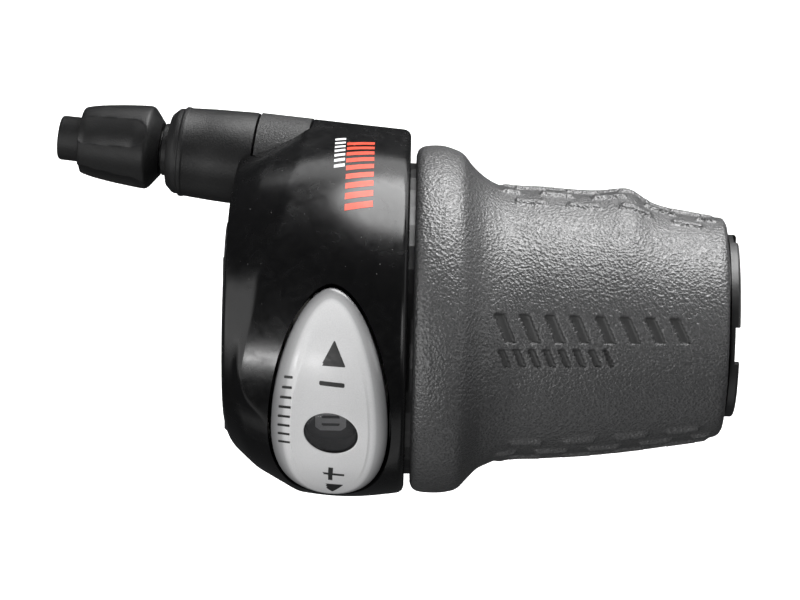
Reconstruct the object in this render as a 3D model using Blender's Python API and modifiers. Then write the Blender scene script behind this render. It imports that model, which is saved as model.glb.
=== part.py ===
"""Twist-grip gear shifter for a bicycle handlebar, modelled as an assembly of separate solids.

The bar's axis is +X, pointing at the grip's free end. +Y is forward and +Z is up in riding
position. The origin is on the bar's axis, 0.6 mm inboard of the bracket's inboard face.
Dimensions are in millimetres and are turned into metres where meshes are made. An angle round
the bar is measured from the top (+Z) towards the front (+Y).
"""

import bpy
import bmesh
from math import acos, atan2, cos, exp, hypot, pi, radians, sin, sqrt, tau
from mathutils import Matrix, Vector

MM = 0.001
SPACE = 0.3                    # gap kept between pieces that touch or nest

# Handlebar and fixed sleeve
BORE_RADIUS = 11.2
SLEEVE_RADIUS = 12.3
SLEEVE_FLANGE_RADIUS = 15.0
SLEEVE_START = 7.3
SLEEVE_FLANGE_END = 8.3
LUG_RADIUS = 13.0
LUG_START = 71.9
LUG_END = 73.3
LUG_GAP_FLOOR = 72.6
LUG_GAP_WIDTH = 5.3
LUG_GAP_ANGLE = radians(-12.8)

# Bracket: dished inboard disc, split clamp ring and clamp ears
FACE_X = 0.6
FACE_RADIUS = 13.0
DISC_RADIUS = 17.6
DISC_RIM_X = 2.0
DISC_BACK = 3.0
CLAMP_RADIUS = 13.2
CLAMP_LENGTH = 6.5
EAR_START = 1.07
EAR_HALF_WIDTH = 5.0
EAR_BOTTOM = -21.0
EAR_TOP = -12.6
CLAMP_GAP = 2.0
BOLT_X = 3.3
BOLT_Z = -17.2
BOLT_RADIUS = 1.9

# Housing shell
HOUSING_END = 26.6
BARREL_RADIUS = 25.6
CROWN_X = 18.3
CROWN_FACTOR = 0.016
CROWN_REACH = 14.0
WALL = 2.7
CAVITY_RADIUS = 22.9
SHELL_EDGE_RADIUS = 18.4
OUTBOARD_CORNER = 1.0

# Cable outlet: its axis leaves the housing inboard, slightly forward and slightly down
OUTLET_POINT = Vector((0.0, 22.7, -4.0))
OUTLET_AXIS = Vector((-1.0, 0.094, -0.0875)).normalized()
OUTLET_RADIUS = 6.8
SOCKET_START = 4.7
SOCKET_END = 12.0
SOCKET_BORE = 4.6

# Indicator plate: an egg outline wrapped on the barrel
PLATE_X = 16.1
PLATE_CENTRE = radians(-39.0)
PLATE_HALF_WIDTH = 8.1
PLATE_UPPER_HEIGHT = 21.6
PLATE_LOWER_HEIGHT = 17.7
PLATE_TIP_SHARPNESS = 1.12
PLATE_PROUD = 0.35
PLATE_FLOOR = 23.4
WINDOW_X = 16.35
WINDOW_HALF_WIDTH = 3.75
WINDOW_HALF_HEIGHT = 3.6
WINDOW_SLANT = 0.08

# Indicator dial
GEARS = 8
GEAR_ANGLE = radians(16.0)
DIAL_OUTER = 22.5
DIAL_INNER = 21.3
DIAL_START = 12.6
DIAL_END = 19.6
DIAL_FROM = radians(-165.0)
DIAL_TO = radians(-25.0)

# Winding drum and index ring
DRUM_START = 9.5
DRUM_FLANGE_RADIUS = 17.3
GROOVE_RADIUS = 15.5
GROOVE_START = 10.3
GROOVE_END = 12.1
DRUM_FLANGE_END = 12.9
NIPPLE_ANGLE = radians(172.0)
INDEX_START = 13.4
INDEX_END = 16.6
INDEX_RADIUS = 18.5
NOTCH_DEPTH = 0.9
NOTCH_HALF_ANGLE = radians(4.0)
DETENT_ANGLE = radians(118.0)
SPRING_FROM = radians(92.0)
SPRING_TO = radians(155.0)
SPRING_SCREW_ANGLE = radians(148.0)

# Grip
CORE_INNER = 12.6
CORE_OUTER = 14.0
CORE_END = 71.6
CORE_FLANGE_START = 24.4
CORE_LIP_RADIUS = 22.2
CORE_LIP_END = 28.9
RUBBER_INNER = 14.3
RUBBER_START = 27.4
BUMP_ANGLE = radians(90.0)
BUMP_SPREAD = radians(55.0)
RUBBER_PROFILE = (             # (x, radius at the rear, extra radius at the front)
    (27.6, 23.4, 0.0), (28.6, 24.6, 0.0), (31.0, 24.8, 0.0), (32.8, 24.6, -0.3), (34.2, 24.2, -0.5),
    (35.4, 22.85, -0.75), (36.9, 21.3, -0.6), (38.3, 20.55, -0.75), (39.7, 19.95, -0.7),
    (42.0, 19.4, -0.45), (46.0, 19.25, -0.35), (51.0, 18.8, -0.3), (54.0, 18.55, 0.05),
    (57.2, 18.1, 0.8), (58.6, 17.9, 0.55), (60.0, 17.65, -0.15), (63.5, 17.05, -0.9),
    (66.0, 16.65, -0.9), (69.0, 16.2, -0.85), (70.8, 15.9, -0.4), (CORE_END, 14.9, 0.0))

# Cable adjuster, by distance outward along the outlet's axis
COLLAR_START = 5.0
COLLAR_END = 9.0
COLLAR_RADIUS = 3.75
STEM_RADIUS = 2.9
STEM_START = 0.5
KNOB_PROFILE = (               # (radius, distance), from the outer end back to the stem
    (4.1, 21.0), (4.75, 20.7), (5.29, 18.5), (5.73, 15.0), (5.98, 11.6), (5.55, 10.6), (3.9, 9.3))
KNOB_RADIUS = 5.98
KNOB_SHOULDER = 11.0
KNOB_END = 21.0
STUB_RADIUS = 3.2
STUB_END = 24.2
CASING_RADIUS = 2.5
CASING_START = 15.0
CABLE_RADIUS = 1.0
FLUTES = 4
FLUTE_RADIUS = 5.0
FLUTE_DEPTH = 1.1
FLUTE_ANGLE = radians(17.0)
SLIT_ANGLE = radians(98.0)

# Cover screws, by angle round the bar
COVER_SCREWS = (radians(45.0), radians(-75.0), radians(-140.0))
COVER_SCREW_RADIUS = 15.4
BOSS_RADIUS = 1.9
BOSS_START = 3.4
BOSS_END = 6.6
BORE_END = 6.2
SCREW_HEAD_X = 1.0
SCREW_SEAT_X = 2.2

RING_STEPS = 40
TUBE_STEPS = 28
SMALL_STEPS = 20
ALONG_X = Matrix(((0, 0, 1, 0), (1, 0, 0, 0), (0, 1, 0, 0), (0, 0, 0, 1)))


# ---------------------------------------------------------------- geometry

def polar_point(x, radius, angle):
    """Point at a distance from the bar's axis, at an angle from the top towards the front."""
    return Vector((x, radius * sin(angle), radius * cos(angle)))


def hermite(part, before, after, slope_in, slope_out):
    """Cubic between two values, with slopes given per whole span."""
    square, cube = part ** 2, part ** 3
    return ((2 * cube - 3 * square + 1) * before + (cube - 2 * square + part) * slope_in
            + (3 * square - 2 * cube) * after + (cube - square) * slope_out)


def around(angle, keys):
    """Smooth closed curve through (degrees, value) keys that run from -180 to 180."""
    degrees = (angle * 180.0 / pi + 180.0) % 360.0 - 180.0
    spans = len(keys) - 1
    index = max(number for number in range(spans) if keys[number][0] <= degrees)
    (start, before), (end, after) = keys[index], keys[index + 1]
    earlier = keys[index - 1] if index > 0 else (keys[-2][0] - 360, keys[-2][1])
    later = keys[index + 2] if index + 2 <= spans else (keys[1][0] + 360, keys[1][1])
    slope_in = (after - earlier[1]) / (end - earlier[0]) * (end - start)
    slope_out = (later[1] - before) / (later[0] - start) * (end - start)
    return hermite((degrees - start) / (end - start), before, after, slope_in, slope_out)


def barrel_radius(x):
    """Radius of the crowned barrel of the housing at x."""
    away = x - CROWN_X
    return BARREL_RADIUS - CROWN_FACTOR * away ** 2 / (1 + (away / CROWN_REACH) ** 2)


def housing_radius(x, angle):
    """Outer radius of the housing: the barrel and the cable outlet under one stretched skin."""
    centre = OUTLET_POINT - OUTLET_AXIS * x
    distance = hypot(centre.y, centre.z)
    turn = angle - atan2(centre.y, centre.z)
    main = barrel_radius(x)
    best = main
    for step in range(25):
        part = step / 24
        radius = main + (OUTLET_RADIUS - 0.05 - main) * part
        along = distance * part * cos(turn)
        aside = distance * part * sin(turn)
        if abs(aside) < radius:
            best = max(best, along + sqrt(radius ** 2 - aside ** 2))
    return best


def egg_point(turn, grow):
    """Outline of the indicator plate, unrolled: (x, arc length from the top), grown by a margin."""
    height = PLATE_UPPER_HEIGHT if cos(turn) > 0 else PLATE_LOWER_HEIGHT
    power = PLATE_TIP_SHARPNESS if cos(turn) > 0 else 1.0
    side = abs(sin(turn)) ** power * (1 if sin(turn) >= 0 else -1)
    centre = PLATE_CENTRE * BARREL_RADIUS
    x = PLATE_X + (PLATE_HALF_WIDTH + grow) * side
    return x, centre + (height + grow) * cos(turn)


def window_point(turn, grow):
    """Outline of the window in the plate, unrolled, grown by a margin."""
    across = (WINDOW_HALF_WIDTH + grow) * sin(turn)
    along_arc = (WINDOW_HALF_HEIGHT + grow) * cos(turn) - WINDOW_SLANT * across
    return WINDOW_X + across, PLATE_CENTRE * BARREL_RADIUS + along_arc


def wrapped(x, arc, radius):
    """Wrap an unrolled point on the barrel, at a given radius."""
    return polar_point(x, radius, arc / BARREL_RADIUS)


def aimed(origin, direction):
    """Matrix whose local Z runs along a direction, with local X as near up as it can be."""
    axis = direction.normalized()
    up = (Vector((0, 0, 1)) - axis * axis.z).normalized()
    aside = axis.cross(up)
    turn = Matrix((up, aside, axis)).transposed().to_4x4()
    return Matrix.Translation(origin * MM) @ turn


OUTLET_FRAME = aimed(OUTLET_POINT, OUTLET_AXIS)


# ---------------------------------------------------------------- building blocks

def clear_scene():
    for item in list(bpy.data.objects):
        bpy.data.objects.remove(item, do_unlink=True)


def make_collection(name):
    collection = bpy.data.collections.new(name)
    bpy.context.scene.collection.children.link(collection)
    return collection


def make_material(name, colour, roughness, metallic):
    material = bpy.data.materials.new(name)
    material.use_nodes = True
    shader = material.node_tree.nodes["Principled BSDF"]
    shader.inputs["Base Color"].default_value = (*colour, 1.0)
    shader.inputs["Roughness"].default_value = roughness
    shader.inputs["Metallic"].default_value = metallic
    return material


def add_object(name, mesh, matrix, finish):
    """Link a mesh as a part of the assembly, or as a hidden cutter where it has no finish."""
    item = bpy.data.objects.new(name, mesh)
    item.matrix_world = matrix
    if finish is None:
        cutters.objects.link(item)
        item.hide_render = True
        item.display_type = "WIRE"
    else:
        parts.objects.link(item)
        mesh.materials.append(make_material(name, *finish))
    return item


def smooth(item, degrees=35.0):
    item.data.shade_smooth()
    item.data.set_sharp_from_angle(angle=radians(degrees))


def turned(name, profile, matrix, finish, steps=RING_STEPS):
    """Turn a closed (radius, height) profile, which runs down its outer side, round local Z."""
    mesh = bpy.data.meshes.new(name)
    points = [(radius * MM, 0, height * MM) for radius, height in profile]
    edges = [(index, (index + 1) % len(points)) for index in range(len(points))]
    mesh.from_pydata(points, edges, [])
    item = add_object(name, mesh, matrix, finish)
    screw = item.modifiers.new("Turn", "SCREW")
    screw.axis = "Z"
    screw.angle = tau
    screw.steps = steps
    screw.render_steps = steps
    screw.use_merge_vertices = True
    screw.merge_threshold = 0.00001
    screw.use_smooth_shade = True
    return item


def rod(name, radius, start, end, matrix, finish, steps=SMALL_STEPS):
    """Solid cylinder or prism along local Z, from one height to another."""
    mesh = bmesh.new()
    middle = Matrix.Translation((0, 0, (start + end) / 2 * MM))
    bmesh.ops.create_cone(mesh, cap_ends=True, segments=steps, radius1=radius * MM,
                          radius2=radius * MM, depth=(end - start) * MM, matrix=middle)
    data = bpy.data.meshes.new(name)
    mesh.to_mesh(data)
    mesh.free()
    return add_object(name, data, matrix, finish)


def box(name, low, high, matrix, finish):
    """Box between two opposite corners."""
    mesh = bmesh.new()
    size = (Vector(high) - Vector(low)) * MM
    centre = (Vector(high) + Vector(low)) / 2 * MM
    place = Matrix.Translation(centre) @ Matrix.Diagonal((*size, 1.0))
    bmesh.ops.create_cube(mesh, size=1.0, matrix=place)
    data = bpy.data.meshes.new(name)
    mesh.to_mesh(data)
    mesh.free()
    return add_object(name, data, matrix, finish)


def curve_to_mesh(name, curve_object, finish):
    """Replace a filled curve object by a closed mesh at the same place."""
    bpy.context.view_layer.update()
    graph = bpy.context.evaluated_depsgraph_get()
    data = bpy.data.meshes.new_from_object(curve_object.evaluated_get(graph))
    mesh = bmesh.new()
    mesh.from_mesh(data)
    bmesh.ops.remove_doubles(mesh, verts=mesh.verts, dist=0.000005)
    bmesh.ops.recalc_face_normals(mesh, faces=mesh.faces)
    mesh.to_mesh(data)
    mesh.free()
    data.materials.clear()
    matrix = curve_object.matrix_world.copy()
    bpy.data.objects.remove(curve_object, do_unlink=True)
    return add_object(name, data, matrix, finish)


def slab(name, outlines, start, end, finish):
    """Flat piece across the bar: closed (y, z) outlines, the later ones being holes."""
    curve = bpy.data.curves.new(name, "CURVE")
    curve.dimensions = "2D"
    curve.fill_mode = "BOTH"
    curve.extrude = (end - start) / 2 * MM
    for outline in outlines:
        spline = curve.splines.new("POLY")
        spline.points.add(len(outline) - 1)
        for point, (across, up) in zip(spline.points, outline):
            point.co = (across * MM, up * MM, 0, 1)
        spline.use_cyclic_u = True
    item = bpy.data.objects.new(name, curve)
    item.matrix_world = Matrix.Translation(((start + end) / 2 * MM, 0, 0)) @ ALONG_X
    cutters.objects.link(item)
    return curve_to_mesh(name, item, finish)


def tube_curve(name, points, radius):
    """Poly curve through the points with a round section."""
    curve = bpy.data.curves.new(name, "CURVE")
    curve.dimensions = "3D"
    curve.bevel_depth = radius * MM
    curve.bevel_resolution = 2
    curve.use_fill_caps = True
    spline = curve.splines.new("POLY")
    spline.points.add(len(points) - 1)
    for target, point in zip(spline.points, points):
        target.co = (*(point * MM), 1)
    item = bpy.data.objects.new(name, curve)
    cutters.objects.link(item)
    return item


def crown_point(loop):
    """Middle of a loop, moved out to the loop's own distance from the bar's axis."""
    middle = sum(loop, Vector()) / len(loop)
    radius = sum(hypot(point.y, point.z) for point in loop) / len(loop)
    return polar_point(middle.x, radius, atan2(middle.y, middle.z))


def loft(name, loops, finish, closed=True):
    """Skin a list of point loops; it ends on its first loop, or is domed shut at both ends."""
    mesh = bmesh.new()
    rows = [[mesh.verts.new(point * MM) for point in loop] for loop in loops]
    pairs = list(zip(rows, rows[1:]))
    count = len(rows[0])
    if closed:
        pairs.append((rows[-1], rows[0]))
    else:
        for row, loop in ((rows[0], loops[0]), (rows[-1], loops[-1])):
            pole = mesh.verts.new(crown_point(loop) * MM)
            for step in range(count):
                mesh.faces.new((row[step], row[(step + 1) % count], pole))
    for near, far in pairs:
        for step in range(count):
            following = (step + 1) % count
            mesh.faces.new((near[step], near[following], far[following], far[step]))
    bmesh.ops.recalc_face_normals(mesh, faces=mesh.faces)
    data = bpy.data.meshes.new(name)
    mesh.to_mesh(data)
    mesh.free()
    return add_object(name, data, Matrix.Identity(4), finish)


def loop_points(rule, steps=RING_STEPS):
    """Points of one loop: rule(angle) gives (x, radius) at that angle round the bar."""
    points = []
    for step in range(steps):
        angle = tau * step / steps
        x, radius = rule(angle)
        points.append(polar_point(x, radius, angle))
    return points


def combine(target, tool, operation):
    change = target.modifiers.new(tool.name, "BOOLEAN")
    change.operation = operation
    change.object = tool
    change.solver = "EXACT"


def cut(target, *tools):
    for tool in tools:
        combine(target, tool, "DIFFERENCE")


def join(target, *tools):
    for tool in tools:
        combine(target, tool, "UNION")


def ring_outline(rule, steps):
    """Closed (y, z) outline from a radius rule."""
    outline = []
    for step in range(steps):
        angle = tau * step / steps
        outline.append((rule(angle) * sin(angle), rule(angle) * cos(angle)))
    return outline


def sector_outline(inner, outer, start, end, steps):
    """Closed (y, z) outline of a strip between two radius rules, from one angle to another."""
    angles = [start + (end - start) * step / steps for step in range(steps + 1)]
    far = [(outer(angle) * sin(angle), outer(angle) * cos(angle)) for angle in angles]
    near = [(inner(angle) * sin(angle), inner(angle) * cos(angle)) for angle in reversed(angles)]
    return far + near


def radial_frame(x, angle):
    """Frame on the bar's axis with local Z pointing out at an angle and local Y along the bar."""
    outward = polar_point(0, 1, angle)
    forward = Vector((1, 0, 0))
    turn = Matrix((forward.cross(outward), forward, outward)).transposed().to_4x4()
    return Matrix.Translation((x * MM, 0, 0)) @ turn


def screw_frame(angle):
    """Frame along the bar's axis, at a cover screw's place on the inboard disc."""
    return Matrix.Translation(polar_point(0, COVER_SCREW_RADIUS, angle) * MM) @ ALONG_X


# ---------------------------------------------------------------- housing

# Lines of the shell by angle round the bar: its inner edge, the flank, the shoulder and the crease
EDGE_X = ((-180, 2.2), (-90, 2.4), (-45, 1.0), (15, 1.0), (50, 1.3), (80, 1.5), (120, 2.0), (180, 2.2))
FLANK_X = ((-180, 3.0), (-90, 3.3), (-60, 2.0), (-33, 1.1), (-20, 1.1), (0, 1.2), (35, 1.3), (52, 1.5),
           (80, 2.2), (100, 2.3), (120, 2.6), (180, 3.0))
FLANK_RADIUS = ((-180, 20.5), (-90, 19.3), (-60, 19.8), (-33, 21.0), (-20, 21.6), (0, 22.3), (35, 21.6),
                (52, 21.4), (80, 22.2), (100, 22.3), (120, 22.0), (180, 20.5))
SHOULDER_X = ((-180, 5.5), (-90, 6.1), (-60, 4.4), (-33, 3.1), (-20, 2.6), (0, 2.8), (35, 4.5), (80, 6.0),
              (120, 6.0), (180, 5.5))
SHOULDER_RADIUS = ((-180, 22.6), (-90, 21.9), (-60, 22.0), (-33, 22.5), (-20, 22.6), (0, 23.15),
                   (35, 22.8), (80, 23.65), (120, 23.3), (180, 22.6))
CREASE_X = ((-180, 8.0), (-125, 11.0), (-90, 12.0), (-78, 11.0), (-64, 9.8), (-38.5, 7.7), (-29, 4.6),
            (-20, 3.4), (-11.5, 3.8), (0, 4.9), (14, 5.9), (23, 7.2), (36, 9.0), (52, 10.3), (74, 11.4),
            (100, 12.0), (140, 9.5), (180, 8.0))
BARREL_STATIONS = (0.25, 0.5, 0.75)
CAVITY_LIMIT = 12.3


def make_housing_cover():
    """Glossy shell round the mechanism, open to the bracket's disc and to the grip's flange."""

    def outer(x_rule, drop):
        return lambda angle: (x_rule(angle), housing_radius(x_rule(angle), angle) - drop)

    def inner(x_rule):
        return lambda angle: (x_rule(angle),
                              max(CAVITY_RADIUS, housing_radius(x_rule(angle), angle) - WALL))

    def crease(angle):
        return around(angle, CREASE_X)

    def station(part):
        return lambda angle: crease(angle) + 0.6 + (HOUSING_END - 1.6 - crease(angle)) * part

    def inner_crease(angle):
        return min(crease(angle) + 1.6, CAVITY_LIMIT)

    end = HOUSING_END
    corner = OUTBOARD_CORNER
    rules = [
        lambda angle: (around(angle, EDGE_X), SHELL_EDGE_RADIUS),
        lambda angle: (around(angle, FLANK_X), around(angle, FLANK_RADIUS)),
        lambda angle: (around(angle, SHOULDER_X), around(angle, SHOULDER_RADIUS)),
        lambda angle: (crease(angle) - 0.3, housing_radius(crease(angle), angle) - 0.3),
        outer(station(0.0), 0.0)]
    rules += [outer(station(part), 0.0) for part in BARREL_STATIONS]
    rules += [
        outer(lambda angle: end - corner, 0.0),
        outer(lambda angle: end - 0.3 * corner, 0.3 * corner),
        outer(lambda angle: end, corner),
        inner(lambda angle: end),
        inner(inner_crease),
        lambda angle: (around(angle, FLANK_X) + 1.7, around(angle, FLANK_RADIUS) - 1.3),
        lambda angle: (around(angle, EDGE_X) + 1.7, SHELL_EDGE_RADIUS)]
    cover = loft("housing_cover", [loop_points(rule) for rule in rules],
                 ((0.012, 0.012, 0.013), 0.12, 0.0))
    cut(cover, loft("plate_room", [plate_loop(SPACE, 20.5), plate_loop(SPACE, 31.0)], None, closed=False))

    for number, angle in enumerate(COVER_SCREWS, 1):
        boss = rod(f"boss_{number}", BOSS_RADIUS, BOSS_START, BOSS_END, screw_frame(angle), None)
        rib_top = around(angle, FLANK_RADIUS) - 0.6
        rib = box(f"boss_rib_{number}", (-1.5, BOSS_START + 0.1, COVER_SCREW_RADIUS),
                  (1.5, BOSS_END - 0.1, rib_top), radial_frame(0, angle), None)
        bore = rod(f"boss_bore_{number}", 1.15, BOSS_START - 1, BORE_END, screw_frame(angle), None)
        join(cover, boss, rib)
        cut(cover, bore)

    pad_frame = radial_frame((INDEX_START + INDEX_END) / 2, SPRING_SCREW_ANGLE)
    pad = rod("spring_pad", 2.0, 22.2, 24.2, pad_frame, None)
    join(cover, pad)
    cut(cover, rod("spring_screw_hole", 1.1, 20.0, 30.0, pad_frame, None),
        rod("spring_screw_recess", 2.2, 24.4, 30.0, pad_frame, None))

    plug_hole = rod("plug_hole", 3.2, 18.0, 30.0, radial_frame(11.8, NIPPLE_ANGLE), None)
    socket_room = rod("socket_room", OUTLET_RADIUS + SPACE, -SOCKET_END - 0.3, 14.0, OUTLET_FRAME, None,
                      steps=TUBE_STEPS)
    ear_room = box("ear_room", (-1.0, -9.5, -30.0), (7.2, 9.5, -10.0), Matrix.Identity(4), None)
    cut(cover, plug_hole, socket_room, ear_room)
    smooth(cover)


def plate_loop(grow, radius, steps=40):
    return [wrapped(*egg_point(tau * step / steps, grow), radius) for step in range(steps)]


def make_indicator_plate():
    """Silver teardrop plate with a raised rim and a window hole."""
    steps = 40

    def between(part, height, proud):
        points = []
        for step in range(steps):
            turn = tau * step / steps
            x_out, arc_out = egg_point(turn, 0.0)
            x_in, arc_in = window_point(turn, 0.0)
            x = x_out + (x_in - x_out) * part
            arc = arc_out + (arc_in - arc_out) * part
            points.append(wrapped(x, arc, barrel_radius(x) + height if proud else height))
        return points

    loops = [
        between(0.0, PLATE_FLOOR, False),
        between(0.0, PLATE_PROUD - 0.45, True),
        between(0.03, PLATE_PROUD, True),
        between(0.5, PLATE_PROUD, True),
        between(1.0, PLATE_PROUD, True),
        between(1.0, PLATE_FLOOR, False),
        between(0.5, PLATE_FLOOR, False)]
    plate = loft("indicator_plate", loops, ((0.56, 0.57, 0.58), 0.3, 0.6))
    smooth(plate, 30.0)


def make_indicator_window():
    """Clear lens that fills the plate's window."""
    steps = 24
    heights = ((-SPACE, 24.0), (-SPACE, 25.35), (-0.6, 25.6), (-2.4, 25.75))
    loops = []
    for grow, radius in heights:
        loops.append([wrapped(*window_point(tau * step / steps, grow), radius) for step in range(steps)])
    lens = loft("indicator_window", loops, ((0.8, 0.82, 0.84), 0.05, 0.0), closed=False)
    smooth(lens, 30.0)


def make_access_plug():
    """Plug over the hole through which the cable's nipple is changed, with a hole to pull it by."""
    profile = ((0.6, 25.1), (2.4, 25.1), (2.85, 24.7), (2.85, 23.4), (0.6, 23.4))
    plug = turned("access_plug", profile, radial_frame(11.8, NIPPLE_ANGLE),
                  ((0.02, 0.02, 0.02), 0.4, 0.0), steps=SMALL_STEPS)
    smooth(plug)


# ---------------------------------------------------------------- bracket and sleeve

def make_base_bracket():
    """Inboard disc with the split clamp ring, its ears, and the arm to the cable socket."""
    profile = ((BORE_RADIUS, CLAMP_LENGTH), (CLAMP_RADIUS, CLAMP_LENGTH), (CLAMP_RADIUS, DISC_BACK),
               (DISC_RADIUS, DISC_BACK), (DISC_RADIUS, DISC_RIM_X), (FACE_RADIUS + 1.0, FACE_X + 0.3),
               (FACE_RADIUS, FACE_X), (BORE_RADIUS + 0.3, FACE_X), (BORE_RADIUS, FACE_X + 0.3))
    base = turned("base_bracket", profile, ALONG_X, ((0.03, 0.03, 0.032), 0.45, 0.0))
    still = Matrix.Identity(4)
    ears = box("ears", (EAR_START, -EAR_HALF_WIDTH, EAR_BOTTOM),
               (CLAMP_LENGTH - 0.1, EAR_HALF_WIDTH, EAR_TOP), still, None)
    arm = box("socket_arm", (2.3, 12.5, -8.5), (7.0, 15.2, 1.5), still, None)
    bridge = box("socket_bridge", (SOCKET_START + 0.1, 13.0, -8.2), (6.9, 19.5, 1.2), still, None)
    socket = rod("socket_body", OUTLET_RADIUS, -SOCKET_END, -SOCKET_START, OUTLET_FRAME, None,
                 steps=TUBE_STEPS)
    join(base, ears, arm, bridge, socket)

    split = box("clamp_split", (-1.0, -CLAMP_GAP / 2, -25.0), (8.0, CLAMP_GAP / 2, -5.0), still, None)
    bolt_frame = aimed(Vector((BOLT_X, 0, BOLT_Z)), Vector((0, 1, 0)))
    bolt_hole = rod("bolt_hole", BOLT_RADIUS + SPACE, -12.0, 12.0, bolt_frame, None)
    head_room = rod("head_room", 4.2, -14.0, -EAR_HALF_WIDTH - 0.1, bolt_frame, None)
    nut_room = rod("nut_room", 4.2, EAR_HALF_WIDTH + 0.1, 14.0, bolt_frame, None)
    tube_room = rod("tube_room", OUTLET_RADIUS + SPACE, -SOCKET_START + 0.05, 14.0, OUTLET_FRAME, None,
                    steps=TUBE_STEPS)
    socket_bore = rod("socket_bore", SOCKET_BORE, -10.4, -SOCKET_START + 1.0, OUTLET_FRAME, None)
    drum_room = rod("drum_room", DRUM_FLANGE_RADIUS + 0.5, DRUM_START - 0.5, 14.0, ALONG_X, None,
                    steps=RING_STEPS)
    guide_room = curve_to_mesh("guide_room", tube_curve("guide_room_path", guide_path(1.0), 1.6), None)
    cut(base, split, bolt_hole, head_room, nut_room, tube_room, socket_bore, drum_room, guide_room)
    for number, angle in enumerate(COVER_SCREWS, 1):
        frame = screw_frame(angle)
        cut(base, rod(f"disc_hole_{number}", 1.25, -2.0, 4.0, frame, None),
            rod(f"disc_recess_{number}", 1.9, -2.0, SCREW_SEAT_X, frame, None))
    smooth(base)


def make_bar_sleeve():
    """Fixed sleeve that the grip turns on, with four end lugs that hold the grip."""
    profile = ((BORE_RADIUS, LUG_END), (LUG_RADIUS - 0.4, LUG_END), (LUG_RADIUS, LUG_END - 0.4),
               (LUG_RADIUS, LUG_START + 0.1), (SLEEVE_RADIUS, LUG_START),
               (SLEEVE_RADIUS, SLEEVE_FLANGE_END), (SLEEVE_FLANGE_RADIUS, SLEEVE_FLANGE_END),
               (SLEEVE_FLANGE_RADIUS, SLEEVE_START), (BORE_RADIUS, SLEEVE_START))
    sleeve = turned("bar_sleeve", profile, ALONG_X, ((0.03, 0.03, 0.03), 0.35, 0.0))
    half = LUG_GAP_WIDTH / 2
    for number in range(2):
        gap = box(f"lug_gap_{number + 1}", (-half, LUG_GAP_FLOOR, -20.0), (half, LUG_END + 2.0, 20.0),
                  radial_frame(0, LUG_GAP_ANGLE + number * pi / 2), None)
        cut(sleeve, gap)
    smooth(sleeve)


def make_thrust_washer():
    start = SLEEVE_FLANGE_END + SPACE
    end = DRUM_START - SPACE
    profile = ((CORE_INNER, end), (SLEEVE_FLANGE_RADIUS, end), (SLEEVE_FLANGE_RADIUS, start),
               (CORE_INNER, start))
    smooth(turned("thrust_washer", profile, ALONG_X, ((0.75, 0.74, 0.7), 0.4, 0.0)))


def make_clamp_fasteners():
    """Socket-head screw and nut that close the clamp ring."""
    frame = aimed(Vector((BOLT_X, 0, BOLT_Z)), Vector((0, 1, 0)))
    head = -EAR_HALF_WIDTH - SPACE
    profile = ((0.4, 9.2), (BOLT_RADIUS - 0.4, 9.2), (BOLT_RADIUS, 8.8), (BOLT_RADIUS, head),
               (3.4, head), (3.4, head - 3.2), (3.0, head - 3.6), (0.4, head - 3.6))
    bolt = turned("clamp_bolt", profile, frame, ((0.35, 0.35, 0.36), 0.3, 1.0), steps=SMALL_STEPS)
    cut(bolt, rod("bolt_socket", 1.75, head - 5.0, head - 1.6, frame, None, steps=6))
    nut = rod("clamp_nut", 3.9, EAR_HALF_WIDTH + SPACE, EAR_HALF_WIDTH + SPACE + 3.0, frame,
              ((0.35, 0.35, 0.36), 0.35, 1.0), steps=6)
    cut(nut, rod("nut_bore", BOLT_RADIUS + SPACE, 0.0, 12.0, frame, None))
    smooth(bolt)
    smooth(nut)


def make_cover_screws():
    """Small pan-head screws, set in the inboard disc, that pull the shell on to the bracket."""
    for number, angle in enumerate(COVER_SCREWS, 1):
        frame = screw_frame(angle)
        under = SCREW_SEAT_X - SPACE
        profile = ((0.3, 6.0), (0.6, 6.0), (0.85, 5.7), (0.85, under), (1.7, under),
                   (1.7, SCREW_HEAD_X + 0.4), (1.3, SCREW_HEAD_X), (0.3, SCREW_HEAD_X))
        screw = turned(f"cover_screw_{number}", profile, frame, ((0.4, 0.4, 0.4), 0.3, 1.0), steps=16)
        for turn in (0.0, pi / 2):
            slot = box(f"cover_screw_slot_{number}_{turn:.0f}", (-1.1, -0.2, -1.0),
                       (1.1, 0.2, SCREW_HEAD_X + 0.5), frame @ Matrix.Rotation(turn, 4, "Z"), None)
            cut(screw, slot)
        smooth(screw)


# ---------------------------------------------------------------- cable outlet

def make_outlet_tube():
    """Satin tube that carries the adjuster, with a chamfered mouth and a step ring."""
    root = -SOCKET_START + 0.35
    profile = ((4.05, 8.1), (5.1, 8.1), (6.1, 6.95), (6.15, 6.35), (6.45, 6.1), (6.45, 5.7), (6.35, 5.45),
               (6.55, 2.0), (OUTLET_RADIUS - 0.05, root), (SOCKET_BORE - SPACE, root),
               (SOCKET_BORE - SPACE, -7.6), (1.7, -7.6), (1.7, -2.0), (3.2, -2.0), (3.2, 1.8), (4.05, 1.8))
    tube = turned("outlet_tube", profile, OUTLET_FRAME, ((0.06, 0.06, 0.065), 0.4, 0.0), steps=TUBE_STEPS)
    smooth(tube)


def make_click_collar():
    inner = STEM_RADIUS + SPACE
    profile = ((inner, COLLAR_END), (COLLAR_RADIUS - 0.15, COLLAR_END), (COLLAR_RADIUS, COLLAR_END - 0.15),
               (COLLAR_RADIUS, COLLAR_START), (inner, COLLAR_START))
    collar = turned("click_collar", profile, OUTLET_FRAME, ((0.02, 0.02, 0.02), 0.5, 0.0),
                    steps=TUBE_STEPS)
    collar.parent = adjuster_pivot
    collar.matrix_parent_inverse = adjuster_pivot.matrix_world.inverted()
    smooth(collar)


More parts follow.
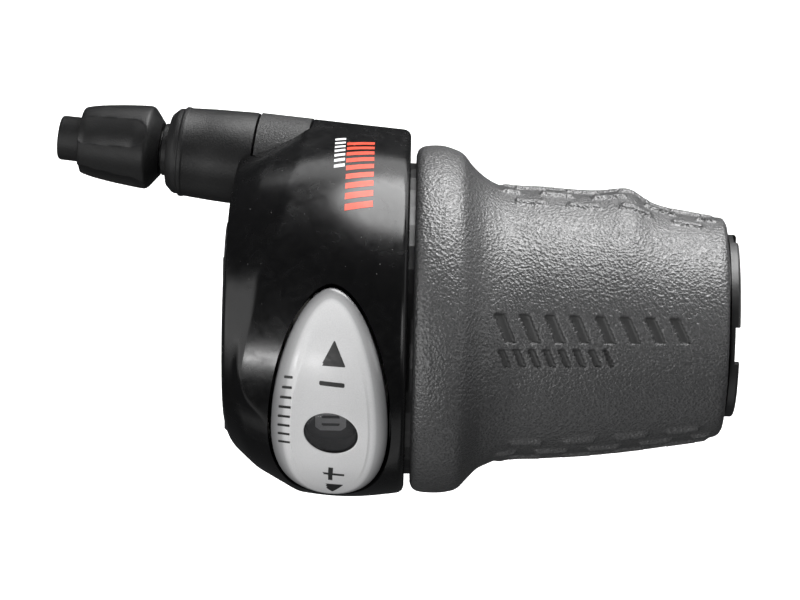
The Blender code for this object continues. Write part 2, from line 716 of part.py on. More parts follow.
def make_adjusting_barrel():
    """Fluted knob on a threaded stem, bored for the cable and for its casing's ferrule."""
    profile = ((CASING_RADIUS, STUB_END), (STUB_RADIUS - 0.4, STUB_END), (STUB_RADIUS, STUB_END - 0.5),
               (STUB_RADIUS, KNOB_END), *KNOB_PROFILE, (STEM_RADIUS, KNOB_PROFILE[-1][1]),
               (STEM_RADIUS, STEM_START), (CABLE_RADIUS, STEM_START), (CABLE_RADIUS, CASING_START),
               (CASING_RADIUS, CASING_START))
    barrel = turned("adjusting_barrel", profile, OUTLET_FRAME, ((0.02, 0.02, 0.021), 0.55, 0.0),
                    steps=TUBE_STEPS)
    for number in range(FLUTES):
        turn = Matrix.Rotation(FLUTE_ANGLE + number * tau / FLUTES, 4, "Z")
        aside = Matrix.Translation(((KNOB_RADIUS + FLUTE_RADIUS - FLUTE_DEPTH) * MM, 0, 0))
        flute = rod(f"flute_{number + 1}", FLUTE_RADIUS, KNOB_SHOULDER + 1.4, KNOB_END + 1.0,
                    OUTLET_FRAME @ turn @ aside, None, steps=24)
        cut(barrel, flute)
    slit = box("stub_slit", (0.0, -0.25, KNOB_END - 1.0), (5.0, 0.25, STUB_END + 1.0),
               OUTLET_FRAME @ Matrix.Rotation(SLIT_ANGLE, 4, "Z"), None)
    cut(barrel, slit)
    barrel.parent = adjuster_pivot
    barrel.matrix_parent_inverse = adjuster_pivot.matrix_world.inverted()
    smooth(barrel)


def make_click_spring():
    """Coil that presses the click collar outward."""
    turns = 4
    steps = 9
    points = []
    for step in range(turns * steps + 1):
        angle = tau * step / steps
        height = 2.3 + 2.1 * step / (turns * steps)
        points.append(Vector((3.6 * cos(angle), 3.6 * sin(angle), height)))
    coil = tube_curve("click_spring_path", points, 0.2)
    coil.matrix_world = OUTLET_FRAME
    spring = curve_to_mesh("click_spring", coil, ((0.5, 0.5, 0.5), 0.3, 1.0))
    smooth(spring)


def guide_path(longer):
    """Centre line of the cable guide: off the drum's tangent, then round a bend to the outlet."""
    plane = (GROOVE_START + GROOVE_END) / 2
    corner = OUTLET_POINT - OUTLET_AXIS * plane
    reach = hypot(corner.y, corner.z)
    leave = atan2(corner.y, corner.z) + acos(GROOVE_RADIUS / reach)
    tangent = polar_point(plane, GROOVE_RADIUS, leave)
    run = (corner - tangent).normalized()
    bend = 4.0
    points = [corner - run * (4.8 + 0.5 * longer)]
    for step in range(9):
        turn = pi / 2 * step / 8
        points.append(corner + run * (bend * (sin(turn) - 1)) + OUTLET_AXIS * (bend * (1 - cos(turn))))
    points.append(corner + OUTLET_AXIS * (8.2 + 0.5 * longer))
    return points


def make_cable_guide():
    """Curved hollow liner from the drum to the outlet."""
    wall = 0.35
    path = tube_curve("cable_guide_path", guide_path(0.0), 1.2 - wall / 2)
    path.data.use_fill_caps = False
    guide = curve_to_mesh("cable_guide", path, ((0.75, 0.75, 0.72), 0.4, 0.0))
    shell = guide.modifiers.new("Wall", "SOLIDIFY")
    shell.thickness = wall * MM
    shell.offset = 0.0
    smooth(guide)


# ---------------------------------------------------------------- rotating parts

def ride_grip(item):
    item.parent = grip_pivot


def make_winding_drum():
    """Cable drum on the grip's axis, with the pocket that holds the cable's nipple."""
    end = CORE_FLANGE_START - SPACE
    hub = 14.2
    rim = DRUM_FLANGE_RADIUS
    profile = ((CORE_INNER, end), (hub, end), (hub, DRUM_FLANGE_END), (rim, DRUM_FLANGE_END),
               (rim, GROOVE_END), (GROOVE_RADIUS, GROOVE_END), (GROOVE_RADIUS, GROOVE_START),
               (rim, GROOVE_START), (rim, DRUM_START), (CORE_INNER, DRUM_START))
    drum = turned("winding_drum", profile, ALONG_X, ((0.7, 0.69, 0.65), 0.45, 0.0), steps=36)
    pocket = rod("nipple_pocket", 1.2, DRUM_START - 1.0, GROOVE_END - 0.3,
                 Matrix.Translation(polar_point(0, GROOVE_RADIUS - 0.1, NIPPLE_ANGLE) * MM) @ ALONG_X,
                 None, steps=16)
    cut(drum, pocket)
    ride_grip(drum)
    smooth(drum)


def index_radius(angle):
    """Edge of the index ring, with a rounded notch for each gear."""
    for gear in range(GEARS):
        away = (angle - DETENT_ANGLE + gear * GEAR_ANGLE + pi) % tau - pi
        if abs(away) < NOTCH_HALF_ANGLE:
            return INDEX_RADIUS - NOTCH_DEPTH * (1 + cos(pi * away / NOTCH_HALF_ANGLE)) / 2
    return INDEX_RADIUS


def make_index_ring():
    outline = ring_outline(index_radius, 135)
    hole = ring_outline(lambda angle: 14.5, 32)
    ring = slab("index_ring", [outline, hole], INDEX_START, INDEX_END, ((0.45, 0.45, 0.46), 0.35, 1.0))
    ride_grip(ring)
    smooth(ring, 40.0)


def spring_radius(angle):
    """Centre line of the detent spring, whose nose rests in a notch."""
    return 21.7 - 3.35 * exp(-((angle - DETENT_ANGLE) / radians(7.0)) ** 2)


def make_detent_spring():
    thick = 0.4
    outline = sector_outline(lambda angle: spring_radius(angle) - thick / 2,
                             lambda angle: spring_radius(angle) + thick / 2, SPRING_FROM, SPRING_TO, 26)
    spring = slab("detent_spring", [outline], INDEX_START - 0.3, INDEX_END + 0.3,
                  ((0.55, 0.55, 0.56), 0.25, 1.0))
    middle = (INDEX_START + INDEX_END) / 2
    frame = radial_frame(middle, SPRING_SCREW_ANGLE)
    cut(spring, rod("spring_hole", 1.1, 18.0, 30.0, frame, None, steps=16))
    smooth(spring)
    profile = ((0.3, 25.0), (1.5, 25.0), (1.8, 24.7), (0.8, 24.5), (0.8, 21.2), (0.3, 21.2))
    screw = turned("spring_screw", profile, frame, ((0.4, 0.4, 0.4), 0.3, 1.0), steps=16)
    cut(screw, box("spring_screw_slot", (-2.2, -0.2, 24.7), (2.2, 0.2, 26.0), frame, None))
    smooth(screw)


def make_indicator_dial():
    """Dark sector that carries the gear numbers past the window, on a disc fixed to the grip."""
    rim = sector_outline(lambda angle: DIAL_INNER, lambda angle: DIAL_OUTER, DIAL_FROM, DIAL_TO, 20)
    dial = slab("indicator_dial", [rim], DIAL_START, DIAL_END, ((0.02, 0.02, 0.02), 0.5, 0.0))
    start = DIAL_END - 1.1
    disc = turned("dial_disc", ((14.5, DIAL_END), (21.8, DIAL_END), (21.8, start), (14.5, start)),
                  ALONG_X, None, steps=36)
    join(dial, disc)
    ride_grip(dial)
    smooth(dial)


def make_grip_core():
    """Hard tube of the grip, with the flange and lip that close the housing."""
    flange = CORE_FLANGE_START + 1.5
    lip = CORE_LIP_RADIUS - 1.6
    profile = ((CORE_INNER, CORE_END - 0.3), (CORE_OUTER, CORE_END - 0.3), (CORE_OUTER, flange),
               (lip, flange), (lip, CORE_LIP_END), (CORE_LIP_RADIUS, CORE_LIP_END),
               (CORE_LIP_RADIUS, CORE_FLANGE_START), (CORE_INNER, CORE_FLANGE_START))
    core = turned("grip_core", profile, ALONG_X, ((0.02, 0.02, 0.02), 0.4, 0.0))
    ride_grip(core)
    smooth(core)


def make_grip_rubber():
    """Rubber sleeve: a wide flange, a waist, a swelling at the front for the fingers, and a taper."""

    def outer(x, radius, extra):

        def rule(angle):
            away = (angle - BUMP_ANGLE + pi) % tau - pi
            fade = exp(-(away / BUMP_SPREAD) ** 2)
            return x, radius + extra * fade
        return rule

    room = CORE_LIP_RADIUS + SPACE
    step_x = CORE_LIP_END + SPACE
    rules = [lambda angle: (RUBBER_START, room), lambda angle: (RUBBER_START, 23.0)]
    rules += [outer(*station) for station in RUBBER_PROFILE]
    rules += [lambda angle: (CORE_END, RUBBER_INNER), lambda angle: (step_x, RUBBER_INNER),
              lambda angle: (step_x, room)]
    rubber = loft("grip_rubber", [loop_points(rule) for rule in rules], ((0.035, 0.035, 0.036), 0.75, 0.0))
    ride_grip(rubber)
    smooth(rubber, 50.0)


# ---------------------------------------------------------------- assembly

clear_scene()
parts = make_collection("twist_shifter")
cutters = make_collection("cutters")

grip_pivot = bpy.data.objects.new("grip_pivot", None)
parts.objects.link(grip_pivot)
adjuster_pivot = bpy.data.objects.new("adjuster_pivot", None)
adjuster_pivot.matrix_world = OUTLET_FRAME
parts.objects.link(adjuster_pivot)
bpy.context.view_layer.update()

make_base_bracket()
make_bar_sleeve()
make_thrust_washer()
make_clamp_fasteners()
make_housing_cover()
make_cover_screws()
make_indicator_plate()
make_indicator_window()
make_access_plug()
make_outlet_tube()
make_click_collar()
make_adjusting_barrel()
make_click_spring()
make_cable_guide()
make_winding_drum()
make_index_ring()
make_detent_spring()
make_indicator_dial()
make_grip_core()
make_grip_rubber()
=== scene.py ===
"""Looks of the twist-grip gear shifter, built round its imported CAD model.

Shapes are worked out in millimetres in the CAD's own frame: +X along the handlebar to the grip's
free end, +Y forward, +Z up. An angle round the bar runs from the top (+Z) towards the front (+Y).
"""

from math import acos, atan2, cos, exp, floor, hypot, pi, radians, sin, sqrt, tau

import bmesh
import bpy
from mathutils import Matrix, Vector


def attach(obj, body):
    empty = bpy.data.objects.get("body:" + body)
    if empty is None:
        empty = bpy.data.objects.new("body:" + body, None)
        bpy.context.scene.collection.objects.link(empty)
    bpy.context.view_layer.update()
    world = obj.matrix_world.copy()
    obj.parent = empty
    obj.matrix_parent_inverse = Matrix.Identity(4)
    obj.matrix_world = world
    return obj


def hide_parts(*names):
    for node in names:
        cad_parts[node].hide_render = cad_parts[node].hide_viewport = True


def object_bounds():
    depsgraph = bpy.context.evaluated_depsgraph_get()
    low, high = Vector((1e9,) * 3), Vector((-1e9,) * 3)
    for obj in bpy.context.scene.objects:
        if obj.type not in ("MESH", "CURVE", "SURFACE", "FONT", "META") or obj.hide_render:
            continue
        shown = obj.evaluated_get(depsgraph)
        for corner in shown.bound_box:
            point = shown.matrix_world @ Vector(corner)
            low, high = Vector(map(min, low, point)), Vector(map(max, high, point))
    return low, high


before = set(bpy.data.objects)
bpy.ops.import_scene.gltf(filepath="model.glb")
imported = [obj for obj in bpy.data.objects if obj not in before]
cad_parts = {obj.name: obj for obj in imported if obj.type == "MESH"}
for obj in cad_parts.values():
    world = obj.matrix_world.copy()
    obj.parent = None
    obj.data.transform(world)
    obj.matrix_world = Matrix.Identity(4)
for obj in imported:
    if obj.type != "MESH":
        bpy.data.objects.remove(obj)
cad_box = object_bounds()

MM = 0.001
SPACE = 0.3                    # gap kept between pieces that touch or nest
PRINT_LIFT = 0.02              # height of printed ink over the surface it lies on

# Housing skin. The (degrees, value) tables run once round the bar and place the lines between the
# flat inboard edge, the flank, the shoulder and the crease where the barrel starts.
HOUSING_END = 26.6
BARREL_RADIUS = 25.6
CROWN_X = 18.3
CROWN_FACTOR = 0.016
CROWN_REACH = 14.0
WALL = 2.7
CAVITY_RADIUS = 22.9
CAVITY_LIMIT = 12.3
SHELL_EDGE_RADIUS = 18.4
OUTBOARD_CORNER = 1.0
CREASE_STEP = 1.2              # distance past the crease at which the barrel's own curve begins
INNER_CREASE_STEP = 1.6
FLANK_WALL = 1.3
BARREL_STEPS = 16
CORNER_STEPS = 5
SHELL_STEPS = 200
RETURN_LIP = 1.7               # length of the shell's inner face at the inboard edge
EDGE_X = ((-180, 2.2), (-90, 2.4), (-45, 1.0), (15, 1.0), (50, 1.3), (80, 1.5), (120, 2.0),
          (180, 2.2))
FLANK_X = ((-180, 3.0), (-90, 3.3), (-60, 2.0), (-33, 1.1), (-20, 1.1), (0, 1.2), (35, 1.3),
           (52, 1.5), (80, 2.2), (100, 2.3), (120, 2.6), (180, 3.0))
FLANK_RADIUS = ((-180, 20.5), (-90, 19.3), (-60, 19.8), (-33, 21.0), (-20, 21.6), (0, 22.3),
                (35, 21.6), (52, 21.4), (80, 22.2), (100, 22.3), (120, 22.0), (180, 20.5))
SHOULDER_X = ((-180, 5.5), (-90, 6.1), (-60, 4.4), (-33, 3.1), (-20, 2.6), (0, 2.8), (35, 4.5),
              (80, 6.0), (120, 6.0), (180, 5.5))
SHOULDER_RADIUS = ((-180, 22.6), (-90, 21.9), (-60, 22.0), (-33, 22.5), (-20, 22.6), (0, 23.15),
                   (35, 22.8), (80, 23.65), (120, 23.3), (180, 22.6))
CREASE_X = ((-180, 8.0), (-125, 11.0), (-90, 12.0), (-78, 11.0), (-64, 9.8), (-38.5, 7.7),
            (-29, 4.6), (-20, 3.4), (-11.5, 3.8), (0, 4.9), (14, 5.9), (23, 7.2), (36, 9.0),
            (52, 10.3), (74, 11.4), (100, 12.0), (140, 9.5), (180, 8.0))

# Cable outlet
OUTLET_POINT = Vector((0.0, 22.7, -4.0))
OUTLET_AXIS = Vector((-1.0, 0.094, -0.0875)).normalized()
OUTLET_RADIUS = 6.8
SOCKET_START = 4.7
SOCKET_END = 12.0
SOCKET_BORE = 4.6

# Openings cut through the shell
PLUG_X = 11.8
PLUG_ANGLE = radians(172.0)
PLUG_HOLE_RADIUS = 3.2
SPRING_SCREW_X = 15.0
SPRING_SCREW_ANGLE = radians(148.0)
SPRING_SCREW_HOLE = 1.1
SPRING_SCREW_HEAD = 2.2
SPRING_SCREW_SEAT = 24.4
EAR_ROOM = ((-1.0, -9.5, -30.0), (7.2, 9.5, -10.0))
PLATE_ROOM_RADII = (21.0, 30.0)

# Printed stripes on the shell: (x, first bar's degrees, spacing in degrees, count, width, height,
# slant)
RED_STRIPES = (19.5, 37.5, 4.5, 9, 3.9, 1.15, 0.9)
WHITE_STRIPES = (16.6, 56.0, 3.5, 7, 1.5, 0.8, 0.35)

# Indicator plate and window
PLATE_X = 16.1
PLATE_CENTRE = radians(-39.0)
PLATE_HALF_WIDTH = 8.1
PLATE_UPPER_HEIGHT = 21.6
PLATE_LOWER_HEIGHT = 17.7
PLATE_TIP_SHARPNESS = 1.12
PLATE_PROUD = 0.35
PLATE_RIM = 2.3
PLATE_GAP = 0.5                # width of the groove round the plate
PLATE_FLOOR = 23.4
PLATE_EDGE_DROP = 0.75
PLATE_STEPS = 160
BETWEEN_ROWS = 14              # rows of points between the rim and the window
MARK_LINE = PLATE_X + 0.45     # x of the arrows and signs
RIM_DEPTHS = (                 # distances in from the outline at which the rim has points
    0.0, 0.03, 0.1, 0.2, 0.35, 0.55, 0.8, 1.1, 1.4, 1.7, 2.0, PLATE_RIM, 2.6)
WINDOW_X = 16.35
WINDOW_HALF_WIDTH = 3.75
WINDOW_HALF_HEIGHT = 3.6
WINDOW_SLANT = 0.08
WINDOW_EDGE = 0.12
LENS_PROFILE = (               # (growth of the window's outline, radius), up and over the dome
    (-0.12, 24.0), (-0.12, 25.5), (-0.3, 25.66), (-0.8, 25.74), (-1.8, 25.8), (-3.0, 25.83),
    (-3.5, 25.84))
LENS_STEPS = 96
DIAL_RADIUS = 22.5
DIGIT_WIDTH = 4.3
DIGIT_HEIGHT = 3.7
DIGIT_STROKE = 0.9
DIGIT_CORNER = 0.45
DIAL_OFFSET = radians(-0.8)    # turn of the last number from the middle of the window
GEARS = 8
GEAR_ANGLE = radians(16.0)

# Fixed sleeve
BORE_RADIUS = 11.2
SLEEVE_RADIUS = 12.3
SLEEVE_FLANGE_RADIUS = 15.0
SLEEVE_START = 7.3
SLEEVE_FLANGE_END = 8.3
LUG_RADIUS = 13.0
LUG_START = 71.9
LUG_END = 73.3
LUG_GAP_FLOOR = 72.6
LUG_GAP_WIDTH = 5.3
LUG_GAP_ANGLE = radians(-12.8)

# Bracket: dished inboard disc, split clamp ring, clamp ears and cable socket
FACE_X = 0.6
FACE_RADIUS = 13.0
DISC_RADIUS = 17.6
DISC_BACK = 3.0
CLAMP_RADIUS = 13.2
CLAMP_END = 6.5
EARS = ((1.07, -5.0, -21.0), (6.4, 5.0, -12.6))
EAR_FACE = 5.1                 # distance of each ear's outer face from the split's middle
CLAMP_SPLIT = ((-1.0, -1.0, -25.0), (8.0, 1.0, -5.0))
SOCKET_ARM = ((2.3, 12.5, -8.5), (7.0, 15.2, 1.5))
SOCKET_BRIDGE = ((SOCKET_START + 0.1, 13.0, -8.2), (6.9, 19.5, 1.2))
BOLT_POINT = Vector((3.3, 0.0, -17.2))
BOLT_HOLE_RADIUS = 2.2
BOLT_HEAD_RADIUS = 4.2
COVER_SCREW_ANGLES = (radians(45.0), radians(-75.0), radians(-140.0))
COVER_SCREW_RADIUS = 15.4
SCREW_HOLE_RADIUS = 1.25
SCREW_HEAD_RADIUS = 1.9
SCREW_SEAT = 2.2
DRUM_ROOM_RADIUS = 17.8
GUIDE_POINT = Vector((11.2, 15.0, -8.6))
GUIDE_DIRECTION = Vector((0.0, 6.6, 5.5))
GUIDE_RADIUS = 1.7

# Grip
CORE_LIP_RADIUS = 22.2
CORE_LIP_END = 28.9
CORE_END = 71.6
RUBBER_INNER = 14.3
RUBBER_START = 27.4
BUMP_ANGLE = radians(90.0)
BUMP_SPREAD = radians(55.0)
GRIP_REAR = (                  # (x, radius) of the grip away from the thumb bump
    (27.4, 23.3), (27.7, 24.1), (28.6, 24.65), (31.0, 24.8), (32.8, 24.6), (34.2, 24.1),
    (35.4, 22.85), (36.9, 21.3), (38.3, 20.55), (39.7, 19.95), (42.0, 19.4), (46.0, 19.2),
    (51.0, 18.8), (55.0, 18.4), (58.5, 17.9), (61.0, 17.55), (65.0, 16.9), (69.0, 16.25),
    (70.5, 15.95), (71.2, 15.6), (CORE_END, 15.0))
GRIP_BUMP = (                  # (x, extra radius) at the middle of the thumb bump
    (31.0, 0.0), (34.2, -0.5), (35.4, -0.75), (36.9, -0.6), (38.3, -0.75), (39.7, -0.7),
    (42.0, -0.45), (46.0, -0.35), (51.0, -0.3), (54.0, 0.05), (57.2, 0.8), (58.5, 0.6),
    (60.0, -0.15), (61.5, -0.65), (63.5, -0.9), (66.0, -0.9), (69.0, -0.85), (71.2, -0.35))
GRIP_STEPS = 420
GRIP_FINE_START = 38.5
GRIP_COARSE_STEP = 0.4
GRIP_FINE_STEP = 0.28

# Raised pips on the rubber
PIP_ROWS = 23
PIP_FROM = radians(62.0)
PIP_TO = radians(298.0)
PIP_START = 39.0
PIP_END = 70.4
PIP_MEAN_RADIUS = 18.0
PIP_PITCH = 7.4
PIP_LENGTH = 4.6
PIP_WIDTH = 1.3
PIP_HEIGHT = 0.45
PIP_FADE_IN = 1.5
PIP_FADE_OUT = 1.1

# Rows of slanted bars pressed into the rubber
PRESSED_DEPTH = 0.42
PRESSED_MEAN_RADIUS = 18.5
PRESSED_SLANT = 0.45
PRESSED_START = 40.2
PRESSED_ROWS = (               # (lower arc, upper arc, pitch, bar width, end x)
    (-2.9, 0.9, 3.5, 1.5, 66.5), (-6.2, -3.7, 2.1, 0.95, 55.5))
PRESSED_EDGE = (-0.12, 0.14)   # span across a bar's outline in which it sinks to full depth

# Cable adjuster, by distance outward along the outlet's axis
TUBE_ROOT = 0.35 - SOCKET_START
TUBE_MOUTH = 4.05
TUBE_BORE = 3.2
TUBE_SPIGOT = 4.3
TUBE_CABLE = 1.7
KNOB_START = 9.3
KNOB_END = 21.0
KNOB_PROFILE = (               # (distance, radius)
    (KNOB_START, 3.9), (9.75, 4.45), (10.2, 5.05), (10.6, 5.55), (11.0, 5.9), (11.5, 5.98),
    (13.2, 5.89), (15.0, 5.73), (16.7, 5.53), (18.5, 5.29), (20.2, 4.94), (20.7, 4.75),
    (20.95, 4.5), (KNOB_END, 4.1))
STUB_PROFILE = (               # (radius, distance) round the slit end, through the bore and out
    (3.25, 21.02), (3.2, 21.1), (3.2, 23.75), (3.1, 24.0), (2.9, 24.15), (2.6, 24.2), (2.45, 24.1),
    (2.4, 23.7), (2.4, 15.0), (1.0, 15.0), (1.0, 0.5), (2.7, 0.5), (2.9, 0.7))
STEM_RADIUS = 2.9
KNOB_STEPS = 240
KNOB_STEP_LENGTH = 0.16
SCOOPS = 4
SCOOP_RADIUS = 4.6
SCOOP_DEPTH = 0.95
SCOOP_FULL_FROM = 13.4         # distance from which a scoop has its full depth
SCOOP_FADE = 0.16
SCOOP_ANGLE = radians(17.0)
SCOOP_HALF_ANGLE = radians(44.0)
SLIT_ANGLE = radians(98.0)
SLIT = ((0.0, -0.25, 20.0), (5.0, 0.25, 25.2))
COLLAR_PROFILE = ((3.2, 9.0), (3.6, 9.0), (3.72, 8.9), (3.75, 8.75), (3.75, 5.0), (3.2, 5.0))

# Studio, in metres and watts
AIM = (0.03, 0.0, 0.0)
TABLE_AIM = (0.14, 0.2, 0.5)
LIGHTS = (                     # (name, place, width, height, power), all pointing at AIM
    ("left_high", (-0.6, -0.1, 0.5), 1.1, 0.8, 4.2),
    ("right_high", (0.62, -0.1, 0.5), 0.35, 0.35, 1.0),
    ("rear_left_spot", (-0.17, -0.32, 0.6), 0.16, 0.14, 1.2),
    ("rear_glow", (0.0, -0.9, 0.0), 1.8, 0.7, 1.6),
    ("left_glow", (-0.9, 0.0, 0.12), 1.0, 0.4, 0.9),
    ("right_glow", (0.95, 0.1, 0.12), 1.0, 0.4, 0.9))
VIEW_CENTRE = Vector((25.5, 2.6, 0.0)) * MM
VIEW_WIDTH = 0.1143
VIEW_ROLL = radians(1.3)
LENS = 200.0
SENSOR = 36.0


# ---------------------------------------------------------------- geometry

def polar_point(x, radius, angle):
    """Point at a distance from the bar's axis, at an angle from the top towards the front."""
    return Vector((x, radius * sin(angle), radius * cos(angle)))


def hoop(x, radius, steps):
    """Closed row of points round the bar."""
    return [polar_point(x, radius, tau * step / steps) for step in range(steps)]


def ring(radius, height, steps):
    """Closed row of points round local Z."""
    turns = [tau * step / steps for step in range(steps)]
    return [Vector((radius * cos(turn), radius * sin(turn), height)) for turn in turns]


def hermite(part, before, after, slope_in, slope_out):
    """Cubic between two values, with slopes given per whole span."""
    square, cube = part ** 2, part ** 3
    return ((2 * cube - 3 * square + 1) * before + (cube - 2 * square + part) * slope_in
            + (3 * square - 2 * cube) * after + (cube - square) * slope_out)


def around(angle, keys):
    """Smooth closed curve through (degrees, value) keys that run from -180 to 180."""
    degrees = (angle * 180.0 / pi + 180.0) % 360.0 - 180.0
    spans = len(keys) - 1
    index = max(number for number in range(spans) if keys[number][0] <= degrees)
    (start, before), (end, after) = keys[index], keys[index + 1]
    earlier = keys[index - 1] if index > 0 else (keys[-2][0] - 360, keys[-2][1])
    later = keys[index + 2] if index + 2 <= spans else (keys[1][0] + 360, keys[1][1])
    slope_in = (after - earlier[1]) / (end - earlier[0]) * (end - start)
    slope_out = (later[1] - before) / (later[0] - start) * (end - start)
    return hermite((degrees - start) / (end - start), before, after, slope_in, slope_out)


def along(x, keys):
    """Smooth curve through (x, value) keys, held level past both ends."""
    if x <= keys[0][0]:
        return keys[0][1]
    if x >= keys[-1][0]:
        return keys[-1][1]
    index = max(number for number in range(len(keys) - 1) if keys[number][0] <= x)
    (start, before), (end, after) = keys[index], keys[index + 1]
    earlier = keys[max(index - 1, 0)]
    later = keys[min(index + 2, len(keys) - 1)]
    slope_in = (after - earlier[1]) / (end - earlier[0]) * (end - start)
    slope_out = (later[1] - before) / (later[0] - start) * (end - start)
    return hermite((x - start) / (end - start), before, after, slope_in, slope_out)


def smooth_step(value, low, high):
    """Ease from 0 at low to 1 at high."""
    part = min(max((value - low) / (high - low), 0.0), 1.0)
    return part * part * (3 - 2 * part)


def barrel_radius(x):
    """Radius of the housing's crowned barrel."""
    away = x - CROWN_X
    return BARREL_RADIUS - CROWN_FACTOR * away ** 2 / (1 + (away / CROWN_REACH) ** 2)


def housing_radius(x, angle):
    """Outer radius of the housing: the barrel and the cable outlet under one stretched skin."""
    centre = OUTLET_POINT - OUTLET_AXIS * x
    distance = hypot(centre.y, centre.z)
    turn = angle - atan2(centre.y, centre.z)
    main = barrel_radius(x)
    best = main
    circles = 40
    for step in range(circles + 1):
        part = step / circles
        radius = main + (OUTLET_RADIUS - 0.05 - main) * part
        forward = distance * part * cos(turn)
        aside = distance * part * sin(turn)
        if abs(aside) < radius:
            best = max(best, forward + sqrt(radius ** 2 - aside ** 2))
    return best


def egg_point(turn, grow):
    """Outline of the indicator plate, unrolled: (x, arc length from the top), grown by a margin."""
    height = PLATE_UPPER_HEIGHT if cos(turn) > 0 else PLATE_LOWER_HEIGHT
    power = PLATE_TIP_SHARPNESS if cos(turn) > 0 else 1.0
    side = abs(sin(turn)) ** power * (1 if sin(turn) >= 0 else -1)
    x = PLATE_X + (PLATE_HALF_WIDTH + grow) * side
    return x, PLATE_CENTRE * BARREL_RADIUS + (height + grow) * cos(turn)


def window_point(turn, grow):
    """Outline of the window in the plate, unrolled, grown by a margin."""
    across = (WINDOW_HALF_WIDTH + grow) * sin(turn)
    along_arc = (WINDOW_HALF_HEIGHT + grow) * cos(turn) - WINDOW_SLANT * across
    return WINDOW_X + across, PLATE_CENTRE * BARREL_RADIUS + along_arc


def wrapped(x, arc, radius):
    """Point at an unrolled place, laid on a cylinder round the bar."""
    return polar_point(x, radius, arc / BARREL_RADIUS)


def aimed(origin, direction):
    """Matrix whose local Z runs along a direction, with local X as near up as it can be."""
    axis = direction.normalized()
    up = (Vector((0, 0, 1)) - axis * axis.z).normalized()
    turn = Matrix((up, axis.cross(up), axis)).transposed().to_4x4()
    return Matrix.Translation(origin * MM) @ turn


def radial_frame(x, angle):
    """Frame on the bar's axis with local Z pointing out at an angle and local Y along the bar."""
    outward = polar_point(0, 1, angle)
    forward = Vector((1, 0, 0))
    turn = Matrix((forward.cross(outward), forward, outward)).transposed().to_4x4()
    return Matrix.Translation((x * MM, 0, 0)) @ turn


ALONG_X = Matrix(((0, 0, 1, 0), (1, 0, 0, 0), (0, 1, 0, 0), (0, 0, 0, 1)))
OUTLET_FRAME = aimed(OUTLET_POINT, OUTLET_AXIS)


# ---------------------------------------------------------------- meshes

def add_mesh(name, mesh, matrix=None, solid=True):
    """Object from a bmesh, with its matrix applied; a solid gets its normals pointed outward."""
    if matrix is not None:
        bmesh.ops.transform(mesh, matrix=matrix, verts=mesh.verts)
    if solid:
        bmesh.ops.recalc_face_normals(mesh, faces=mesh.faces)
    data = bpy.data.meshes.new(name)
    mesh.to_mesh(data)
    mesh.free()
    item = bpy.data.objects.new(name, data)
    bpy.context.scene.collection.objects.link(item)
    return item


def skin(name, rows, closed=True, caps=False, matrix=None):
    """Skin rows of points, each a closed loop; closed joins the last row to the first."""
    mesh = bmesh.new()
    loops = [[mesh.verts.new(point * MM) for point in row] for row in rows]
    pairs = list(zip(loops, loops[1:]))
    if closed:
        pairs.append((loops[-1], loops[0]))
    count = len(loops[0])
    for near, far in pairs:
        for step in range(count):
            after = (step + 1) % count
            mesh.faces.new((near[step], near[after], far[after], far[step]))
    if caps:
        mesh.faces.new(loops[0])
        mesh.faces.new(loops[-1])
    return add_mesh(name, mesh, matrix)


def turned(name, profile, matrix, steps=128):
    """Closed (radius, height) profile turned round local Z."""
    rows = [ring(radius, height, steps) for radius, height in profile]
    return skin(name, rows, matrix=matrix)


def rod(name, radius, start, end, matrix, steps=48):
    """Cylinder along local Z."""
    mesh = bmesh.new()
    middle = Matrix.Translation((0, 0, (start + end) / 2 * MM))
    bmesh.ops.create_cone(mesh, cap_ends=True, segments=steps, radius1=radius * MM,
                          radius2=radius * MM, depth=(end - start) * MM, matrix=middle)
    return add_mesh(name, mesh, matrix)


def block(name, low, high, matrix=None):
    """Box between two opposite corners."""
    mesh = bmesh.new()
    size = (Vector(high) - Vector(low)) * MM
    centre = (Vector(high) + Vector(low)) / 2 * MM
    shape = Matrix.Translation(centre) @ Matrix.Diagonal((*size, 1.0))
    bmesh.ops.create_cube(mesh, size=1.0, matrix=shape)
    return add_mesh(name, mesh, matrix)


def combine(item, tool, operation):
    """Boolean with a tool object, applied at once; the tool is then removed."""
    change = item.modifiers.new("cut", "BOOLEAN")
    change.operation = operation
    change.object = tool
    change.solver = "EXACT"
    apply_modifiers(item)
    bpy.data.objects.remove(tool, do_unlink=True)


def cut(item, *tools):
    """Take tools away from an object, one after another."""
    for tool in tools:
        combine(item, tool, "DIFFERENCE")


def join(item, *tools):
    """Add tools to an object, one after another."""
    for tool in tools:
        combine(item, tool, "UNION")


def apply_modifiers(item):
    """Turn the modifiers' result into the object's own mesh."""
    bpy.context.view_layer.update()
    graph = bpy.context.evaluated_depsgraph_get()
    data = bpy.data.meshes.new_from_object(item.evaluated_get(graph))
    item.modifiers.clear()
    item.data = data


def round_edges(item, width, degrees=40.0, segments=3):
    """Small fillets along the sharp edges."""
    bevel = item.modifiers.new("fillet", "BEVEL")
    bevel.width = width * MM
    bevel.segments = segments
    bevel.limit_method = "ANGLE"
    bevel.angle_limit = radians(degrees)
    bevel.harden_normals = True


def smooth(item, degrees):
    """Smooth shading, kept sharp over edges steeper than an angle."""
    item.data.shade_smooth()
    item.data.set_sharp_from_angle(angle=radians(degrees))


# ---------------------------------------------------------------- materials

